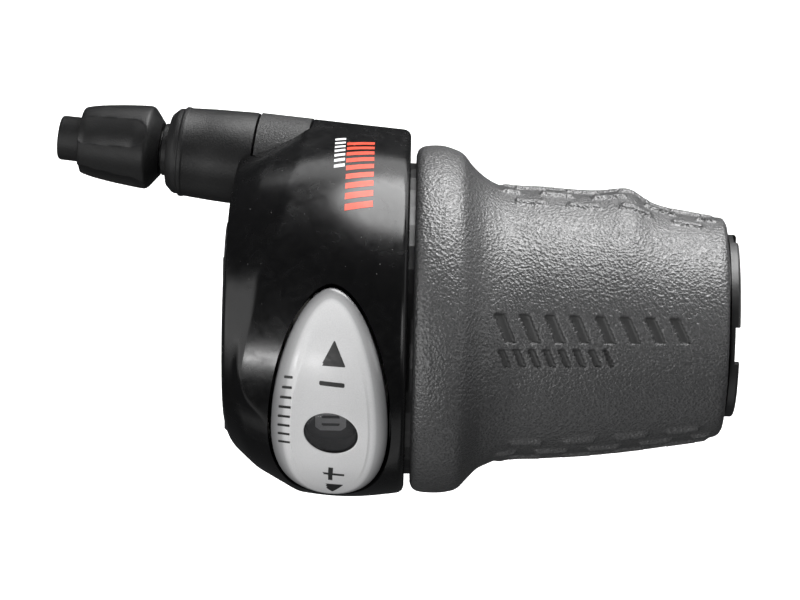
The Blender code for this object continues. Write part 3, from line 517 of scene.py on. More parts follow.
class Shader:
    """A Principled material with small helpers for building its node tree."""

    def __init__(self, name, colour, roughness, metallic=0.0, **levels):
        self.material = bpy.data.materials.new(name)
        self.material.use_nodes = True
        self.tree = self.material.node_tree
        self.shader = self.tree.nodes["Principled BSDF"]
        self.shader.inputs["Base Color"].default_value = (*colour, 1.0)
        self.shader.inputs["Roughness"].default_value = roughness
        self.shader.inputs["Metallic"].default_value = metallic
        for socket, value in levels.items():
            self.shader.inputs[socket.replace("_", " ")].default_value = value
        self.place = self.tree.nodes.new("ShaderNodeTexCoord").outputs["Object"]

    def node(self, kind, **inputs):
        """New node with some of its inputs set or linked."""
        item = self.tree.nodes.new(kind)
        for name, value in inputs.items():
            self.feed(item.inputs[name.replace("_", " ")], value)
        return item

    def feed(self, socket, value):
        """Link a socket to an input, or set the input to a value."""
        if isinstance(value, bpy.types.NodeSocket):
            self.tree.links.new(value, socket)
        else:
            socket.default_value = value

    def noise(self, size, detail=3.0, rough=0.5, distortion=0.0):
        """Noise with features about size millimetres across."""
        item = self.node("ShaderNodeTexNoise", Vector=self.place, Scale=1.0 / (size * MM),
                         Detail=detail, Roughness=rough, Distortion=distortion)
        return item.outputs["Fac"]

    def cells(self, size, feature="F1", smoothness=0.5):
        """Distance to the nearest cell's middle, in cells about size millimetres across."""
        item = self.tree.nodes.new("ShaderNodeTexVoronoi")
        item.feature = feature
        self.feed(item.inputs["Vector"], self.place)
        self.feed(item.inputs["Scale"], 1.0 / (size * MM))
        if feature == "SMOOTH_F1":
            self.feed(item.inputs["Smoothness"], smoothness)
        return item.outputs["Distance"]

    def spread(self, value, low, high, to_low, to_high):
        """Map a value from one range to another, clamped."""
        item = self.node("ShaderNodeMapRange", Value=value)
        item.inputs["From Min"].default_value = low
        item.inputs["From Max"].default_value = high
        self.feed(item.inputs["To Min"], to_low)
        self.feed(item.inputs["To Max"], to_high)
        return item.outputs["Result"]

    def calculate(self, first, second, operation="ADD"):
        """Arithmetic on two values."""
        item = self.tree.nodes.new("ShaderNodeMath")
        item.operation = operation
        self.feed(item.inputs[0], first)
        self.feed(item.inputs[1], second)
        return item.outputs["Value"]

    def blend(self, factor, first, second):
        """Mix two colours by a factor."""
        item = self.tree.nodes.new("ShaderNodeMix")
        item.data_type = "RGBA"
        sockets = [socket for socket in item.inputs if socket.type == "RGBA"]
        self.feed(item.inputs["Factor"], factor)
        for socket, colour in zip(sockets, (first, second)):
            linked = isinstance(colour, bpy.types.NodeSocket)
            self.feed(socket, colour if linked else (*colour, 1.0))
        return next(socket for socket in item.outputs if socket.type == "RGBA")

    def tint(self, colour, factor):
        """Multiply a colour by a grey factor."""
        item = self.tree.nodes.new("ShaderNodeVectorMath")
        item.operation = "SCALE"
        self.feed(item.inputs[0], colour)
        self.feed(item.inputs["Scale"], factor)
        return item.outputs["Vector"]

    def attribute(self, name):
        """Value stored on the mesh's vertices."""
        item = self.tree.nodes.new("ShaderNodeAttribute")
        item.attribute_name = name
        return item.outputs["Fac"]

    def colour(self, value):
        """Link or set the base colour."""
        self.feed(self.shader.inputs["Base Color"], value)

    def rough(self, value):
        """Link or set the roughness."""
        self.feed(self.shader.inputs["Roughness"], value)

    def bump(self, height, depth):
        """Raise the surface by height times depth millimetres."""
        item = self.node("ShaderNodeBump", Height=height, Distance=depth * MM, Strength=1.0)
        self.feed(self.shader.inputs["Normal"], item.outputs["Normal"])


def scaled(colour, factor):
    """Colour with its channels multiplied by a factor."""
    return tuple(channel * factor for channel in colour)


def moulded_plastic(name, colour, roughness, grain=0.25, depth=0.012, specks=0.0, **levels):
    """Moulded plastic: faint flow marks in colour and gloss, fine grain and a few dust specks."""
    made = Shader(name, colour, roughness, **levels)
    flow = made.noise(9.0, detail=4.0, distortion=0.6)
    shade = made.blend(flow, scaled(colour, 0.8), scaled(colour, 1.25))
    if specks:
        dust = made.spread(made.cells(1.1), 0.05, 0.07, 1.0, 0.0)
        patch = made.spread(made.noise(6.0), 0.5, 0.62, 0.0, specks)
        shade = made.blend(made.calculate(dust, patch, "MULTIPLY"), shade, (0.35, 0.35, 0.34))
    made.colour(shade)
    wipe = made.noise(2.4, detail=5.0, distortion=1.2)
    made.rough(made.spread(wipe, 0.3, 0.7, max(roughness - 0.05, 0.02), roughness + 0.05))
    made.bump(made.noise(grain, detail=2.0), depth)
    return made.material


def stippled_plastic(name, colour, roughness):
    """Moulded plastic with a spark-eroded stipple."""
    made = Shader(name, colour, roughness)
    made.colour(made.blend(made.noise(0.4), scaled(colour, 0.7), scaled(colour, 1.5)))
    made.rough(made.spread(made.noise(0.3), 0.3, 0.7, roughness - 0.1, roughness + 0.15))
    made.bump(made.noise(0.28, detail=3.0, rough=0.7), 0.12)
    return made.material


def grip_rubber_material():
    """Dark rubber with the leather grain of the mould, its hollows painted darker and its tops
    lighter as shade, smooth and darker in the pressed marks.
    """
    made = Shader("grip_rubber", (0.035, 0.035, 0.036), 0.42, Specular_IOR_Level=1.0)
    pressed = made.spread(made.attribute("pressed"), 0.15, 0.8, 0.0, 1.0)
    hills = made.noise(0.5, detail=2.0, rough=0.5, distortion=0.9)
    grains = made.cells(0.4, "SMOOTH_F1", 0.35)
    creases = made.noise(0.2, detail=2.0, distortion=0.4)
    relief = made.calculate(made.calculate(hills, grains), made.calculate(creases, 0.5, "MULTIPLY"))
    raised = made.spread(relief, 0.8, 1.5, 0.0, 1.0)
    # Painted shade on the grain: the base colour follows the relief, darker in its hollows and
    # lighter on its raised tops.
    shade = made.blend(raised, (0.018, 0.018, 0.0185), (0.05, 0.05, 0.051))
    made.colour(made.blend(pressed, shade, (0.008, 0.008, 0.008)))
    sheen = made.spread(relief, 0.8, 1.5, 0.5, 0.36)
    made.rough(made.spread(pressed, 0.0, 1.0, sheen, 0.6))
    left = made.spread(pressed, 0.0, 1.0, 1.0, 0.1)
    made.bump(made.calculate(relief, left, "MULTIPLY"), 0.11)
    return made.material


def silver_plate_material():
    """Silver lacquer under a clear coat, with painted shade: greyer towards the outer rim, where
    the rounded bevel turns from the light.
    """
    made = Shader("silver_plate", (0.72, 0.72, 0.72), 0.4, Coat_Weight=0.25, Coat_Roughness=0.15)
    rim = made.attribute("rim")
    face = made.blend(made.noise(7.0), (0.7, 0.7, 0.7), (0.76, 0.76, 0.765))
    # Painted shade: the rim's colour falls from light grey to near black towards the outline,
    # standing in for the shading of the rounded bevel.
    grey = made.blend(rim, (0.5, 0.5, 0.505), (0.16, 0.16, 0.163))
    shade = made.blend(made.spread(rim, 0.0, 0.3, 0.0, 1.0), face, grey)
    flake = made.spread(made.noise(0.12, detail=1.0), 0.3, 0.7, 0.93, 1.05)
    made.colour(made.tint(shade, flake))
    made.rough(made.spread(made.noise(1.6), 0.3, 0.7, 0.3, 0.4))
    made.bump(made.noise(0.5), 0.004)
    return made.material


def clear_material():
    """Clear acrylic: mostly see-through, with a hard gloss."""
    made = Shader("clear_acrylic", (0.1, 0.1, 0.105), 0.05, Alpha=0.22)
    made.rough(made.spread(made.noise(1.5), 0.3, 0.7, 0.03, 0.1))
    made.bump(made.noise(2.0), 0.003)
    return made.material


def print_material(name, colour):
    """Pad-printed ink: slightly uneven, satin."""
    made = Shader(name, colour, 0.45)
    made.colour(made.blend(made.noise(0.3), scaled(colour, 0.85), scaled(colour, 1.1)))
    made.rough(made.spread(made.noise(0.6), 0.3, 0.7, 0.38, 0.52))
    made.bump(made.noise(0.15), 0.004)
    return made.material


def metal_material(name, colour, roughness):
    """Machined steel with fine brushing and faint stains."""
    made = Shader(name, colour, roughness, metallic=1.0)
    stain = made.noise(1.5, detail=5.0, distortion=0.8)
    made.colour(made.blend(stain, scaled(colour, 0.6), colour))
    made.rough(made.spread(made.noise(0.5, detail=4.0), 0.3, 0.7,
                           roughness - 0.08, roughness + 0.14))
    made.bump(made.noise(0.12, detail=2.0), 0.006)
    return made.material


# ---------------------------------------------------------------- housing

def quadratic(start, corner, end, part):
    """Point on a parabola that leaves start towards corner and arrives at end."""
    keep = 1 - part
    return start * keep ** 2 + corner * (2 * keep * part) + end * part ** 2


def rounded_corner(before, corner, after, reach, steps=5):
    """Points that round a corner between two neighbours, starting and ending reach away from it."""
    start = corner + (before - corner).normalized() * min(reach, (before - corner).length * 0.45)
    end = corner + (after - corner).normalized() * min(reach, (after - corner).length * 0.45)
    return [quadratic(start, corner, end, step / (steps - 1)) for step in range(steps)]


def housing_profile(angle):
    """(x, radius) points of the shell's section at an angle, round the outside and back inside."""
    edge = Vector((around(angle, EDGE_X), SHELL_EDGE_RADIUS))
    flank = Vector((around(angle, FLANK_X), around(angle, FLANK_RADIUS)))
    shoulder = Vector((around(angle, SHOULDER_X), around(angle, SHOULDER_RADIUS)))
    crease_x = around(angle, CREASE_X)
    crease = Vector((crease_x, housing_radius(crease_x, angle)))
    after_x = crease_x + CREASE_STEP
    after = Vector((after_x, housing_radius(after_x, angle)))
    points = [edge]
    points += rounded_corner(edge, flank, shoulder, 0.5)
    points += rounded_corner(flank, shoulder, crease, 0.8)
    points += rounded_corner(shoulder, crease, after, 0.7)
    last = HOUSING_END - OUTBOARD_CORNER
    for step in range(BARREL_STEPS + 1):
        x = after_x + (last - after_x) * step / BARREL_STEPS
        points.append(Vector((x, housing_radius(x, angle))))
    for step in range(1, CORNER_STEPS + 1):
        turn = pi / 2 * step / CORNER_STEPS
        x = last + OUTBOARD_CORNER * sin(turn)
        points.append(Vector((x, housing_radius(x, angle) - OUTBOARD_CORNER * (1 - cos(turn)))))
    inner_crease = min(crease_x + INNER_CREASE_STEP, CAVITY_LIMIT)
    for x in (HOUSING_END, inner_crease):
        points.append(Vector((x, max(CAVITY_RADIUS, housing_radius(x, angle) - WALL))))
    points.append(flank + Vector((RETURN_LIP, -FLANK_WALL)))
    points.append(edge + Vector((RETURN_LIP, 0.0)))
    return points


def plate_room():
    """Column through the shell in the plate's outline, each end domed to a middle point."""
    mesh = bmesh.new()
    low, high = [], []
    for loop, radius in zip((low, high), PLATE_ROOM_RADII):
        for step in range(PLATE_STEPS):
            point = wrapped(*egg_point(tau * step / PLATE_STEPS, PLATE_GAP), radius)
            loop.append(mesh.verts.new(point * MM))
        middle = mesh.verts.new(polar_point(PLATE_X, radius, PLATE_CENTRE) * MM)
        for step in range(PLATE_STEPS):
            mesh.faces.new((loop[step - 1], loop[step], middle))
    for step in range(PLATE_STEPS):
        mesh.faces.new((low[step - 1], low[step], high[step], high[step - 1]))
    return add_mesh("plate_room", mesh)


def housing_shell(finish):
    """Glossy shell with its openings cut."""
    angles = [tau * step / SHELL_STEPS for step in range(SHELL_STEPS)]
    sections = [housing_profile(angle) for angle in angles]
    rows = []
    for points in zip(*sections):
        rows.append([polar_point(*point, angle) for point, angle in zip(points, angles)])
    shell = skin("housing_shell", rows)
    plug_frame = radial_frame(PLUG_X, PLUG_ANGLE)
    screw_place = radial_frame(SPRING_SCREW_X, SPRING_SCREW_ANGLE)
    cut(shell, plate_room(),
        rod("socket_room", OUTLET_RADIUS + SPACE, -SOCKET_END - SPACE, 14.0, OUTLET_FRAME, 96),
        block("ear_room", *EAR_ROOM),
        rod("plug_hole", PLUG_HOLE_RADIUS, 18.0, 30.0, plug_frame),
        rod("screw_recess", SPRING_SCREW_HEAD, SPRING_SCREW_SEAT, 30.0, screw_place),
        rod("screw_hole", SPRING_SCREW_HOLE, 20.0, 30.0, screw_place))
    shell.data.materials.append(finish)
    smooth(shell, 32.0)
    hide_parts("housing_cover")
    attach(shell, "bracket")


def unrolled_patch(name, outlines, radius_rule, finish, body, grid=0.45):
    """Thin printed shapes laid on a curved surface: closed (x, arc) outlines, wrapped by angle."""
    mesh = bmesh.new()
    for outline in outlines:
        mesh.faces.new([mesh.verts.new((x, arc, 0.0)) for x, arc in outline])
    for axis in (0, 1):
        places = [point[axis] for outline in outlines for point in outline]
        low, high = min(places), max(places)
        count = int((high - low) / grid) + 1
        normal = Vector((1 - axis, axis, 0))
        for step in range(1, count):
            point = normal * (low + (high - low) * step / count)
            bmesh.ops.bisect_plane(mesh, geom=mesh.verts[:] + mesh.edges[:] + mesh.faces[:],
                                   plane_co=point, plane_no=normal, dist=1e-5)
    for vert in mesh.verts:
        angle = vert.co.y / BARREL_RADIUS
        vert.co = polar_point(vert.co.x, radius_rule(vert.co.x, angle), angle) * MM
    for face in mesh.faces:
        face.normal_update()
        middle = face.calc_center_median()
        if face.normal.dot(Vector((0, middle.y, middle.z))) < 0:
            face.normal_flip()
    item = add_mesh(name, mesh, solid=False)
    item.data.materials.append(finish)
    item.data.shade_smooth()
    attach(item, body)
    return item


def slanted_bar(x, arc, width, height, slant):
    """Parallelogram centred at (x, arc): width along x, height along the arc."""
    half, rise = width / 2, height / 2
    return [(x - half, arc - rise - slant / 2), (x + half, arc - rise + slant / 2),
            (x + half, arc + rise + slant / 2), (x - half, arc + rise - slant / 2)]


def housing_graphics(red, white):
    """Plain striped decoration at the front of the shell."""

    def on_shell(x, angle):
        return housing_radius(x, angle) + PRINT_LIFT

    for name, ink, (x, first, spacing, count, width, height, slant) in (
            ("stripe_graphic_red", red, RED_STRIPES),
            ("stripe_graphic_white", white, WHITE_STRIPES)):
        bars = [slanted_bar(x, BARREL_RADIUS * radians(first + spacing * number),
                            width, height, slant)
                for number in range(count)]
        unrolled_patch(name, bars, on_shell, ink, "bracket")


# ---------------------------------------------------------------- indicator

def plate_height(depth):
    """Height of the plate's top over the barrel, by distance in from its outline."""
    part = min(depth / PLATE_RIM, 1.0)
    return PLATE_PROUD - PLATE_EDGE_DROP * (1 - sqrt(1 - (1 - part) ** 2))


def plate_row(outline, radius_rule):
    """Closed row of points from a rule for the unrolled outline and one for the radius at an x."""
    places = [outline(tau * step / PLATE_STEPS) for step in range(PLATE_STEPS)]
    return [wrapped(x, arc, radius_rule(x)) for x, arc in places]


def between_row(part, radius_rule):
    """Row part of the way from the window's edge to the inner edge of the rim."""
    row = []
    for step in range(PLATE_STEPS):
        turn = tau * step / PLATE_STEPS
        x_out, arc_out = egg_point(turn, -RIM_DEPTHS[-1])
        x_in, arc_in = window_point(turn, WINDOW_EDGE)
        x = x_in + (x_out - x_in) * part
        row.append(wrapped(x, arc_in + (arc_out - arc_in) * part, radius_rule(x_in)))
    return row


def indicator_plate(finish, wall_finish):
    """Silver plate with a rounded rim and the window's opening."""

    def floor_radius(x):
        return PLATE_FLOOR

    def raised(height):
        return lambda x: barrel_radius(x) + height

    rows = [plate_row(lambda turn: egg_point(turn, 0.0), floor_radius)]
    rim_shading = [1.0]
    for depth in RIM_DEPTHS:
        rows.append(plate_row(lambda turn: egg_point(turn, -depth), raised(plate_height(depth))))
        # Painted shade weight per row: 1 at the outline, falling to 0 at the rim's inner edge.
        rim_shading.append(1.0 - smooth_step(depth, 0.0, PLATE_RIM))
    for number in range(BETWEEN_ROWS - 1, -1, -1):
        rows.append(between_row(number / BETWEEN_ROWS, raised(PLATE_PROUD)))
    for grow, drop in ((0.04, 0.03), (0.0, WINDOW_EDGE)):
        rows.append(plate_row(lambda turn: window_point(turn, grow), raised(PLATE_PROUD - drop)))
    wall_start = len(rows) - 1
    rows.append(plate_row(lambda turn: window_point(turn, 0.0), floor_radius))
    for number in range(1, BETWEEN_ROWS, 2):
        rows.append(between_row(number / BETWEEN_ROWS, floor_radius))
    rim_shading += [0.0] * (len(rows) - len(rim_shading))
    plate = skin("plate_body", rows)
    # The rim attribute carries the painted rim shade to the silver material.
    values = plate.data.attributes.new("rim", "FLOAT", "POINT")
    for index in range(len(rows) * PLATE_STEPS):
        values.data[index].value = rim_shading[index // PLATE_STEPS]
    plate.data.materials.append(finish)
    plate.data.materials.append(wall_finish)
    for face in plate.data.polygons:
        if face.index // PLATE_STEPS >= wall_start:
            face.material_index = 1
    smooth(plate, 50.0)
    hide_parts("indicator_plate")
    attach(plate, "bracket")


def rounded(points, radius, steps=4):
    """Outline with its corners rounded."""
    result = []
    count = len(points)
    for index, point in enumerate(points):
        here = Vector(point)
        before = Vector(points[index - 1]) - here
        after = Vector(points[(index + 1) % count]) - here
        start = here + before.normalized() * radius
        end = here + after.normalized() * radius
        for step in range(steps + 1):
            corner = quadratic(start, here, end, step / steps)
            result.append((corner.x, corner.y))
    return result


def plate_arc(y):
    """Arc length at which the plate's surface reaches a y seen from above."""
    return BARREL_RADIUS * (acos(-y / (BARREL_RADIUS + PLATE_PROUD)) - pi / 2)


def plate_marks(ink):
    """Printed arrows, minus and plus signs, and a plain tick scale."""

    def on_plate(x, angle):
        return barrel_radius(x) + PLATE_PROUD + PRINT_LIFT

    up_arrow = ((-1.7, -1.6), (1.7, -1.75), (0.1, 2.0))
    minus = ((-1.9, -0.22), (1.6, -0.5), (1.6, 0.16), (-1.9, 0.44))
    plus = ((-2.1, -0.05), (-0.55, -0.2), (-0.55, -1.7), (0.05, -1.75), (0.05, -0.25), (1.7, -0.4),
            (1.7, 0.15), (0.1, 0.3), (0.15, 1.7), (-0.5, 1.75), (-0.55, 0.35), (-2.1, 0.5))
    down_arrow = ((-1.8, 1.4), (1.6, 1.2), (0.0, -1.9))
    marks = []
    for shape, y, corner in ((up_arrow, -5.1, 0.25), (minus, -9.2, 0.25), (plus, -22.0, 0.0),
                             (down_arrow, -24.0, 0.25)):
        points = [(MARK_LINE + x, plate_arc(y) + arc) for x, arc in shape]
        marks.append(rounded(points, corner) if corner else points)
    first, last = plate_arc(-8.6), plate_arc(-18.0)
    for number in range(GEARS):
        part = number / (GEARS - 1)
        arc = first + (last - first) * part
        x = PLATE_X - 5.6 - 0.4 * sin(pi * part)
        length = 0.7 + 0.11 * number
        marks.append(rounded([(x - length, arc - 0.2), (x + length * 0.7, arc - 0.2),
                              (x + length * 0.7, arc + 0.2), (x - length, arc + 0.2)], 0.12))
    item = unrolled_patch("plate_marks", marks, on_plate, ink, "bracket")


def window_lens(finish):
    """Clear lens, slightly domed, set in the plate's opening."""
    turns = [tau * step / LENS_STEPS for step in range(LENS_STEPS)]
    rows = [[wrapped(*window_point(turn, grow), radius) for turn in turns]
            for grow, radius in LENS_PROFILE]
    lens = skin("window_lens", rows, closed=False, caps=True)
    lens.data.materials.append(finish)
    smooth(lens, 40.0)
    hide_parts("indicator_window")
    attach(lens, "bracket")


def ribbon(points, width, closed):
    """Four-sided outlines that make up a stroke along points, with mitred corners."""
    left, right = [], []
    count = len(points)
    for index in range(count):
        here = Vector(points[index])
        if closed or 0 < index < count - 1:
            before = (here - Vector(points[index - 1])).normalized()
            after = (Vector(points[(index + 1) % count]) - here).normalized()
        elif index == 0:
            before = after = (Vector(points[1]) - here).normalized()
        else:
            before = after = (here - Vector(points[index - 1])).normalized()
        normal = (Vector((-before.y, before.x)) + Vector((-after.y, after.x))).normalized()
        reach = width / 2 / max(normal.dot(Vector((-before.y, before.x))), 0.3)
        left.append(here + normal * reach)
        right.append(here - normal * reach)
    quads = []
    for index in range(count if closed else count - 1):
        after = (index + 1) % count
        quads.append([tuple(left[index]), tuple(left[after]),
                      tuple(right[after]), tuple(right[index])])
    return quads


def digit_strokes(digit):
    """Strokes of a blocky figure with cut corners, centred on zero: (points, closed) pairs."""
    right, top = (DIGIT_WIDTH - DIGIT_STROKE) / 2, (DIGIT_HEIGHT - DIGIT_STROKE) / 2
    corner, half = DIGIT_CORNER, DIGIT_STROKE / 2
    inside = right - half
    upper_right = [(right - corner, top), (right, top - corner)]
    lower_right = [(right, -top + corner), (right - corner, -top)]
    lower_left = [(-right + corner, -top), (-right, -top + corner)]
    upper_left = [(-right, top - corner), (-right + corner, top)]
    bar = ([(-inside, 0), (inside, 0)], False)
    if digit == 8:
        loop = upper_left[1:] + upper_right + lower_right + lower_left + upper_left[:1]
        return [(loop, True), bar]
    if digit == 7:
        return [([(-right, top)] + upper_right + [(right, -top - half)], False)]
    if digit == 6:
        low = ([(-right + corner, 0), (right - corner, 0), (right, -corner)]
               + lower_right + lower_left)
        return [(low + [(-right, -corner)], True),
                ([(-right, half)] + upper_left + [(right, top)], False)]
    if digit == 5:
        return [([(right, top), (-right, top), (-right, 0), (right - corner, 0), (right, -corner)]
                 + lower_right + [(-right, -top)], False)]
    if digit == 4:
        return [([(right, top), (right, -top - half)], False),
                ([(-right, top), (-right, 0), (inside, 0)], False)]
    if digit == 3:
        return [([(-right, top)] + upper_right + lower_right + [(-right, -top)], False),
                ([(-inside * 0.4, 0), (inside, 0)], False)]
    if digit == 2:
        return [([(-right, top)] + upper_right
                 + [(right, 0), (-right, 0), (-right, -top), (right, -top)], False)]
    return [([(0, top + half), (0, -top - half)], False)]


def dial_figures(ink):
    """Gear numbers printed on the dial; the last gear shows in the window at rest."""
    outlines = []
    for gear in range(1, GEARS + 1):
        angle = PLATE_CENTRE + DIAL_OFFSET - GEAR_ANGLE * (GEARS - gear)
        for points, closed in digit_strokes(gear):
            for quad in ribbon(points, DIGIT_STROKE, closed):
                outlines.append([(WINDOW_X - 0.1 + x, (angle + y / DIAL_RADIUS) * BARREL_RADIUS)
                                 for x, y in quad])
    item = unrolled_patch("dial_figures", outlines, lambda x, angle: DIAL_RADIUS + PRINT_LIFT,
                          ink, "grip")


# ---------------------------------------------------------------- grip

def grip_radius(x, angle):
    """Radius of the rubber without its relief: narrower or wider round the thumb bump."""
    away = (angle - BUMP_ANGLE + pi) % tau - pi
    fade = exp(-(away / BUMP_SPREAD) ** 2)
    return along(x, GRIP_REAR) + along(x, GRIP_BUMP) * fade


def pip_relief(x, angle):
    """Staggered oblong pips round the front, underside and rear of the grip."""
    if x < PIP_START or x > PIP_END:
        return 0.0
    turn = angle % tau
    spacing = (PIP_TO - PIP_FROM) / (PIP_ROWS - 1)
    row = floor((turn - PIP_FROM) / spacing + 0.5)
    if row < 0 or row >= PIP_ROWS:
        return 0.0
    across = abs(turn - PIP_FROM - row * spacing) * PIP_MEAN_RADIUS
    shift = PIP_PITCH / 2 if row % 2 else 0.0
    place = (x - PIP_START - 1.0 + shift) % PIP_PITCH
    lengthwise = abs(place - PIP_PITCH / 2)
    side = 1 - smooth_step(across, PIP_WIDTH / 2 - 0.15, PIP_WIDTH / 2 + 0.15)
    ends = 1 - smooth_step(lengthwise, PIP_LENGTH / 2 - 0.2, PIP_LENGTH / 2 + 0.1)
    fade = smooth_step(x, PIP_START, PIP_START + PIP_FADE_IN)
    fade *= 1 - smooth_step(x, PIP_END - PIP_FADE_OUT, PIP_END)
    return PIP_HEIGHT * side * ends * fade


def pressed_depth(x, angle):
    """Depth of the pressed rows of slanted bars on the smooth panel at the top of the grip."""
    arc = ((angle + pi) % tau - pi) * PRESSED_MEAN_RADIUS
    depth = 0.0
    for low, high, pitch, width, end in PRESSED_ROWS:
        leaning = x + (arc - low) * PRESSED_SLANT
        if PRESSED_START < leaning < end:
            place = (leaning - PRESSED_START) % pitch
            inside = smooth_step(min(place, width - place), *PRESSED_EDGE)
            ends = smooth_step(min(arc - low, high - arc), *PRESSED_EDGE)
            depth = max(depth, PRESSED_DEPTH * inside * ends)
    return depth


def grip_sleeve(finish):
    """Rubber sleeve with its relief as real shape, finer where the pips and bars are."""
    room = CORE_LIP_RADIUS + SPACE
    stations = [27.4, 27.5, 27.62, 27.8, 28.05, 28.4]
    x = 28.8
    while x < 70.6:
        stations.append(x)
        x += GRIP_FINE_STEP if x > GRIP_FINE_START else GRIP_COARSE_STEP
    stations += [70.75, 71.0, 71.2, 71.38, 71.52, CORE_END]
    angles = [tau * step / GRIP_STEPS for step in range(GRIP_STEPS)]
    depths = [[pressed_depth(x, angle) for angle in angles] for x in stations]
    rows = [hoop(RUBBER_START, room, GRIP_STEPS)]
    for x, row_depths in zip(stations, depths):
        rows.append([polar_point(x, grip_radius(x, angle) + pip_relief(x, angle) - depth, angle)
                     for angle, depth in zip(angles, row_depths)])
    for x, radius in ((CORE_END, RUBBER_INNER), (CORE_LIP_END + SPACE, RUBBER_INNER),
                      (CORE_LIP_END + SPACE, room)):
        rows.append(hoop(x, radius, GRIP_STEPS))
    sleeve = skin("grip_sleeve", rows)
    pressed = sleeve.data.attributes.new("pressed", "FLOAT", "POINT")
    for index, row_depths in enumerate(depths, 1):
        for step, depth in enumerate(row_depths):
            pressed.data[index * GRIP_STEPS + step].value = depth / PRESSED_DEPTH
    sleeve.data.materials.append(finish)
    smooth(sleeve, 60.0)
    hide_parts("grip_rubber")
    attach(sleeve, "grip")


# ---------------------------------------------------------------- fixed sleeve and bracket

def bar_liner(finish):
    """Fixed sleeve with its four end lugs."""
    profile = ((BORE_RADIUS, LUG_END), (LUG_RADIUS - 0.45, LUG_END),
               (LUG_RADIUS - 0.15, LUG_END - 0.1), (LUG_RADIUS, LUG_END - 0.35),
               (LUG_RADIUS, LUG_START + 0.1), (SLEEVE_RADIUS, LUG_START),
               (SLEEVE_RADIUS, SLEEVE_FLANGE_END), (SLEEVE_FLANGE_RADIUS, SLEEVE_FLANGE_END),
               (SLEEVE_FLANGE_RADIUS, SLEEVE_START), (BORE_RADIUS, SLEEVE_START))
    liner = turned("bar_liner", profile, ALONG_X, 144)
    half_gap = LUG_GAP_WIDTH / 2
    for number in range(2):
        cut(liner, block(f"gap_{number}", (-half_gap, LUG_GAP_FLOOR, -20.0), (half_gap, 76.0, 20.0),
                         radial_frame(0, LUG_GAP_ANGLE + number * pi / 2)))
    liner.data.materials.append(finish)
    smooth(liner, 30.0)
    round_edges(liner, 0.12)
    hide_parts("bar_sleeve")
    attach(liner, "bracket")


def clamp_bracket(finish, stipple):
    """Inboard disc with the split clamp, its ears, and the socket that the outlet tube sits in."""
    profile = ((BORE_RADIUS, CLAMP_END), (CLAMP_RADIUS, CLAMP_END), (CLAMP_RADIUS, DISC_BACK),
               (DISC_RADIUS, DISC_BACK), (DISC_RADIUS, 2.2), (DISC_RADIUS - 0.1, 2.0),
               (DISC_RADIUS - 0.3, 1.88), (14.2, 0.95), (13.5, 0.75), (FACE_RADIUS, FACE_X),
               (BORE_RADIUS + 0.3, FACE_X), (BORE_RADIUS, FACE_X + 0.3))
    base = turned("clamp_bracket", profile, ALONG_X, 144)
    join(base, block("ears", *EARS), block("arm", *SOCKET_ARM), block("bridge", *SOCKET_BRIDGE))
    bolt_frame = aimed(BOLT_POINT, Vector((0, 1, 0)))
    cut(base, block("split", *CLAMP_SPLIT),
        rod("bolt_hole", BOLT_HOLE_RADIUS, -12.0, 12.0, bolt_frame),
        rod("head_room", BOLT_HEAD_RADIUS, -14.0, -EAR_FACE, bolt_frame),
        rod("nut_room", BOLT_HEAD_RADIUS, EAR_FACE, 14.0, bolt_frame),
        rod("tube_room", OUTLET_RADIUS + SPACE, -SOCKET_START + 0.05, 14.0, OUTLET_FRAME, 96))
    for angle in COVER_SCREW_ANGLES:
        place = Matrix.Translation(polar_point(0, COVER_SCREW_RADIUS, angle) * MM) @ ALONG_X
        cut(base, rod("hole", SCREW_HOLE_RADIUS, -2.0, 4.0, place),
            rod("recess", SCREW_HEAD_RADIUS, -2.0, SCREW_SEAT, place))
    base.data.materials.append(finish)
    smooth(base, 30.0)
    round_edges(base, 0.18)
    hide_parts("base_bracket")
    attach(base, "bracket")

    socket = rod("cable_socket", OUTLET_RADIUS, -SOCKET_END, -SOCKET_START, OUTLET_FRAME, 96)
    cut(socket, rod("socket_bore", SOCKET_BORE, -10.4, -4.0, OUTLET_FRAME),
        rod("drum_room", DRUM_ROOM_RADIUS, 9.0, 14.0, ALONG_X, 96),
        rod("guide_way", GUIDE_RADIUS, 0.0, 12.0, aimed(GUIDE_POINT, GUIDE_DIRECTION)))
    socket.data.materials.append(stipple)
    smooth(socket, 30.0)
    round_edges(socket, 0.15)
    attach(socket, "bracket")


# ---------------------------------------------------------------- cable outlet

def outlet_tube(finish):
    """Tube in the socket, with a rounded mouth, a raised band and a stepped bore."""
    profile = ((TUBE_MOUTH, 8.1), (4.9, 8.1), (5.2, 8.05), (6.0, 7.2), (6.12, 6.9), (6.15, 6.4),
               (6.22, 6.3), (6.42, 6.2), (6.45, 6.1), (6.45, 5.7), (6.38, 5.55), (6.35, 5.45),
               (6.55, 2.0), (6.75, TUBE_ROOT + 0.4), (6.6, TUBE_ROOT), (TUBE_SPIGOT, TUBE_ROOT),
               (TUBE_SPIGOT, -7.6), (TUBE_CABLE, -7.6), (TUBE_CABLE, -2.0), (TUBE_BORE, -2.0),
               (TUBE_BORE, 1.8), (TUBE_MOUTH, 1.8))
    tube = turned("cable_outlet", profile, OUTLET_FRAME, 128)
    tube.data.materials.append(finish)
    smooth(tube, 25.0)
    round_edges(tube, 0.06, 25.0)
    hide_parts("outlet_tube")
    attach(tube, "bracket")


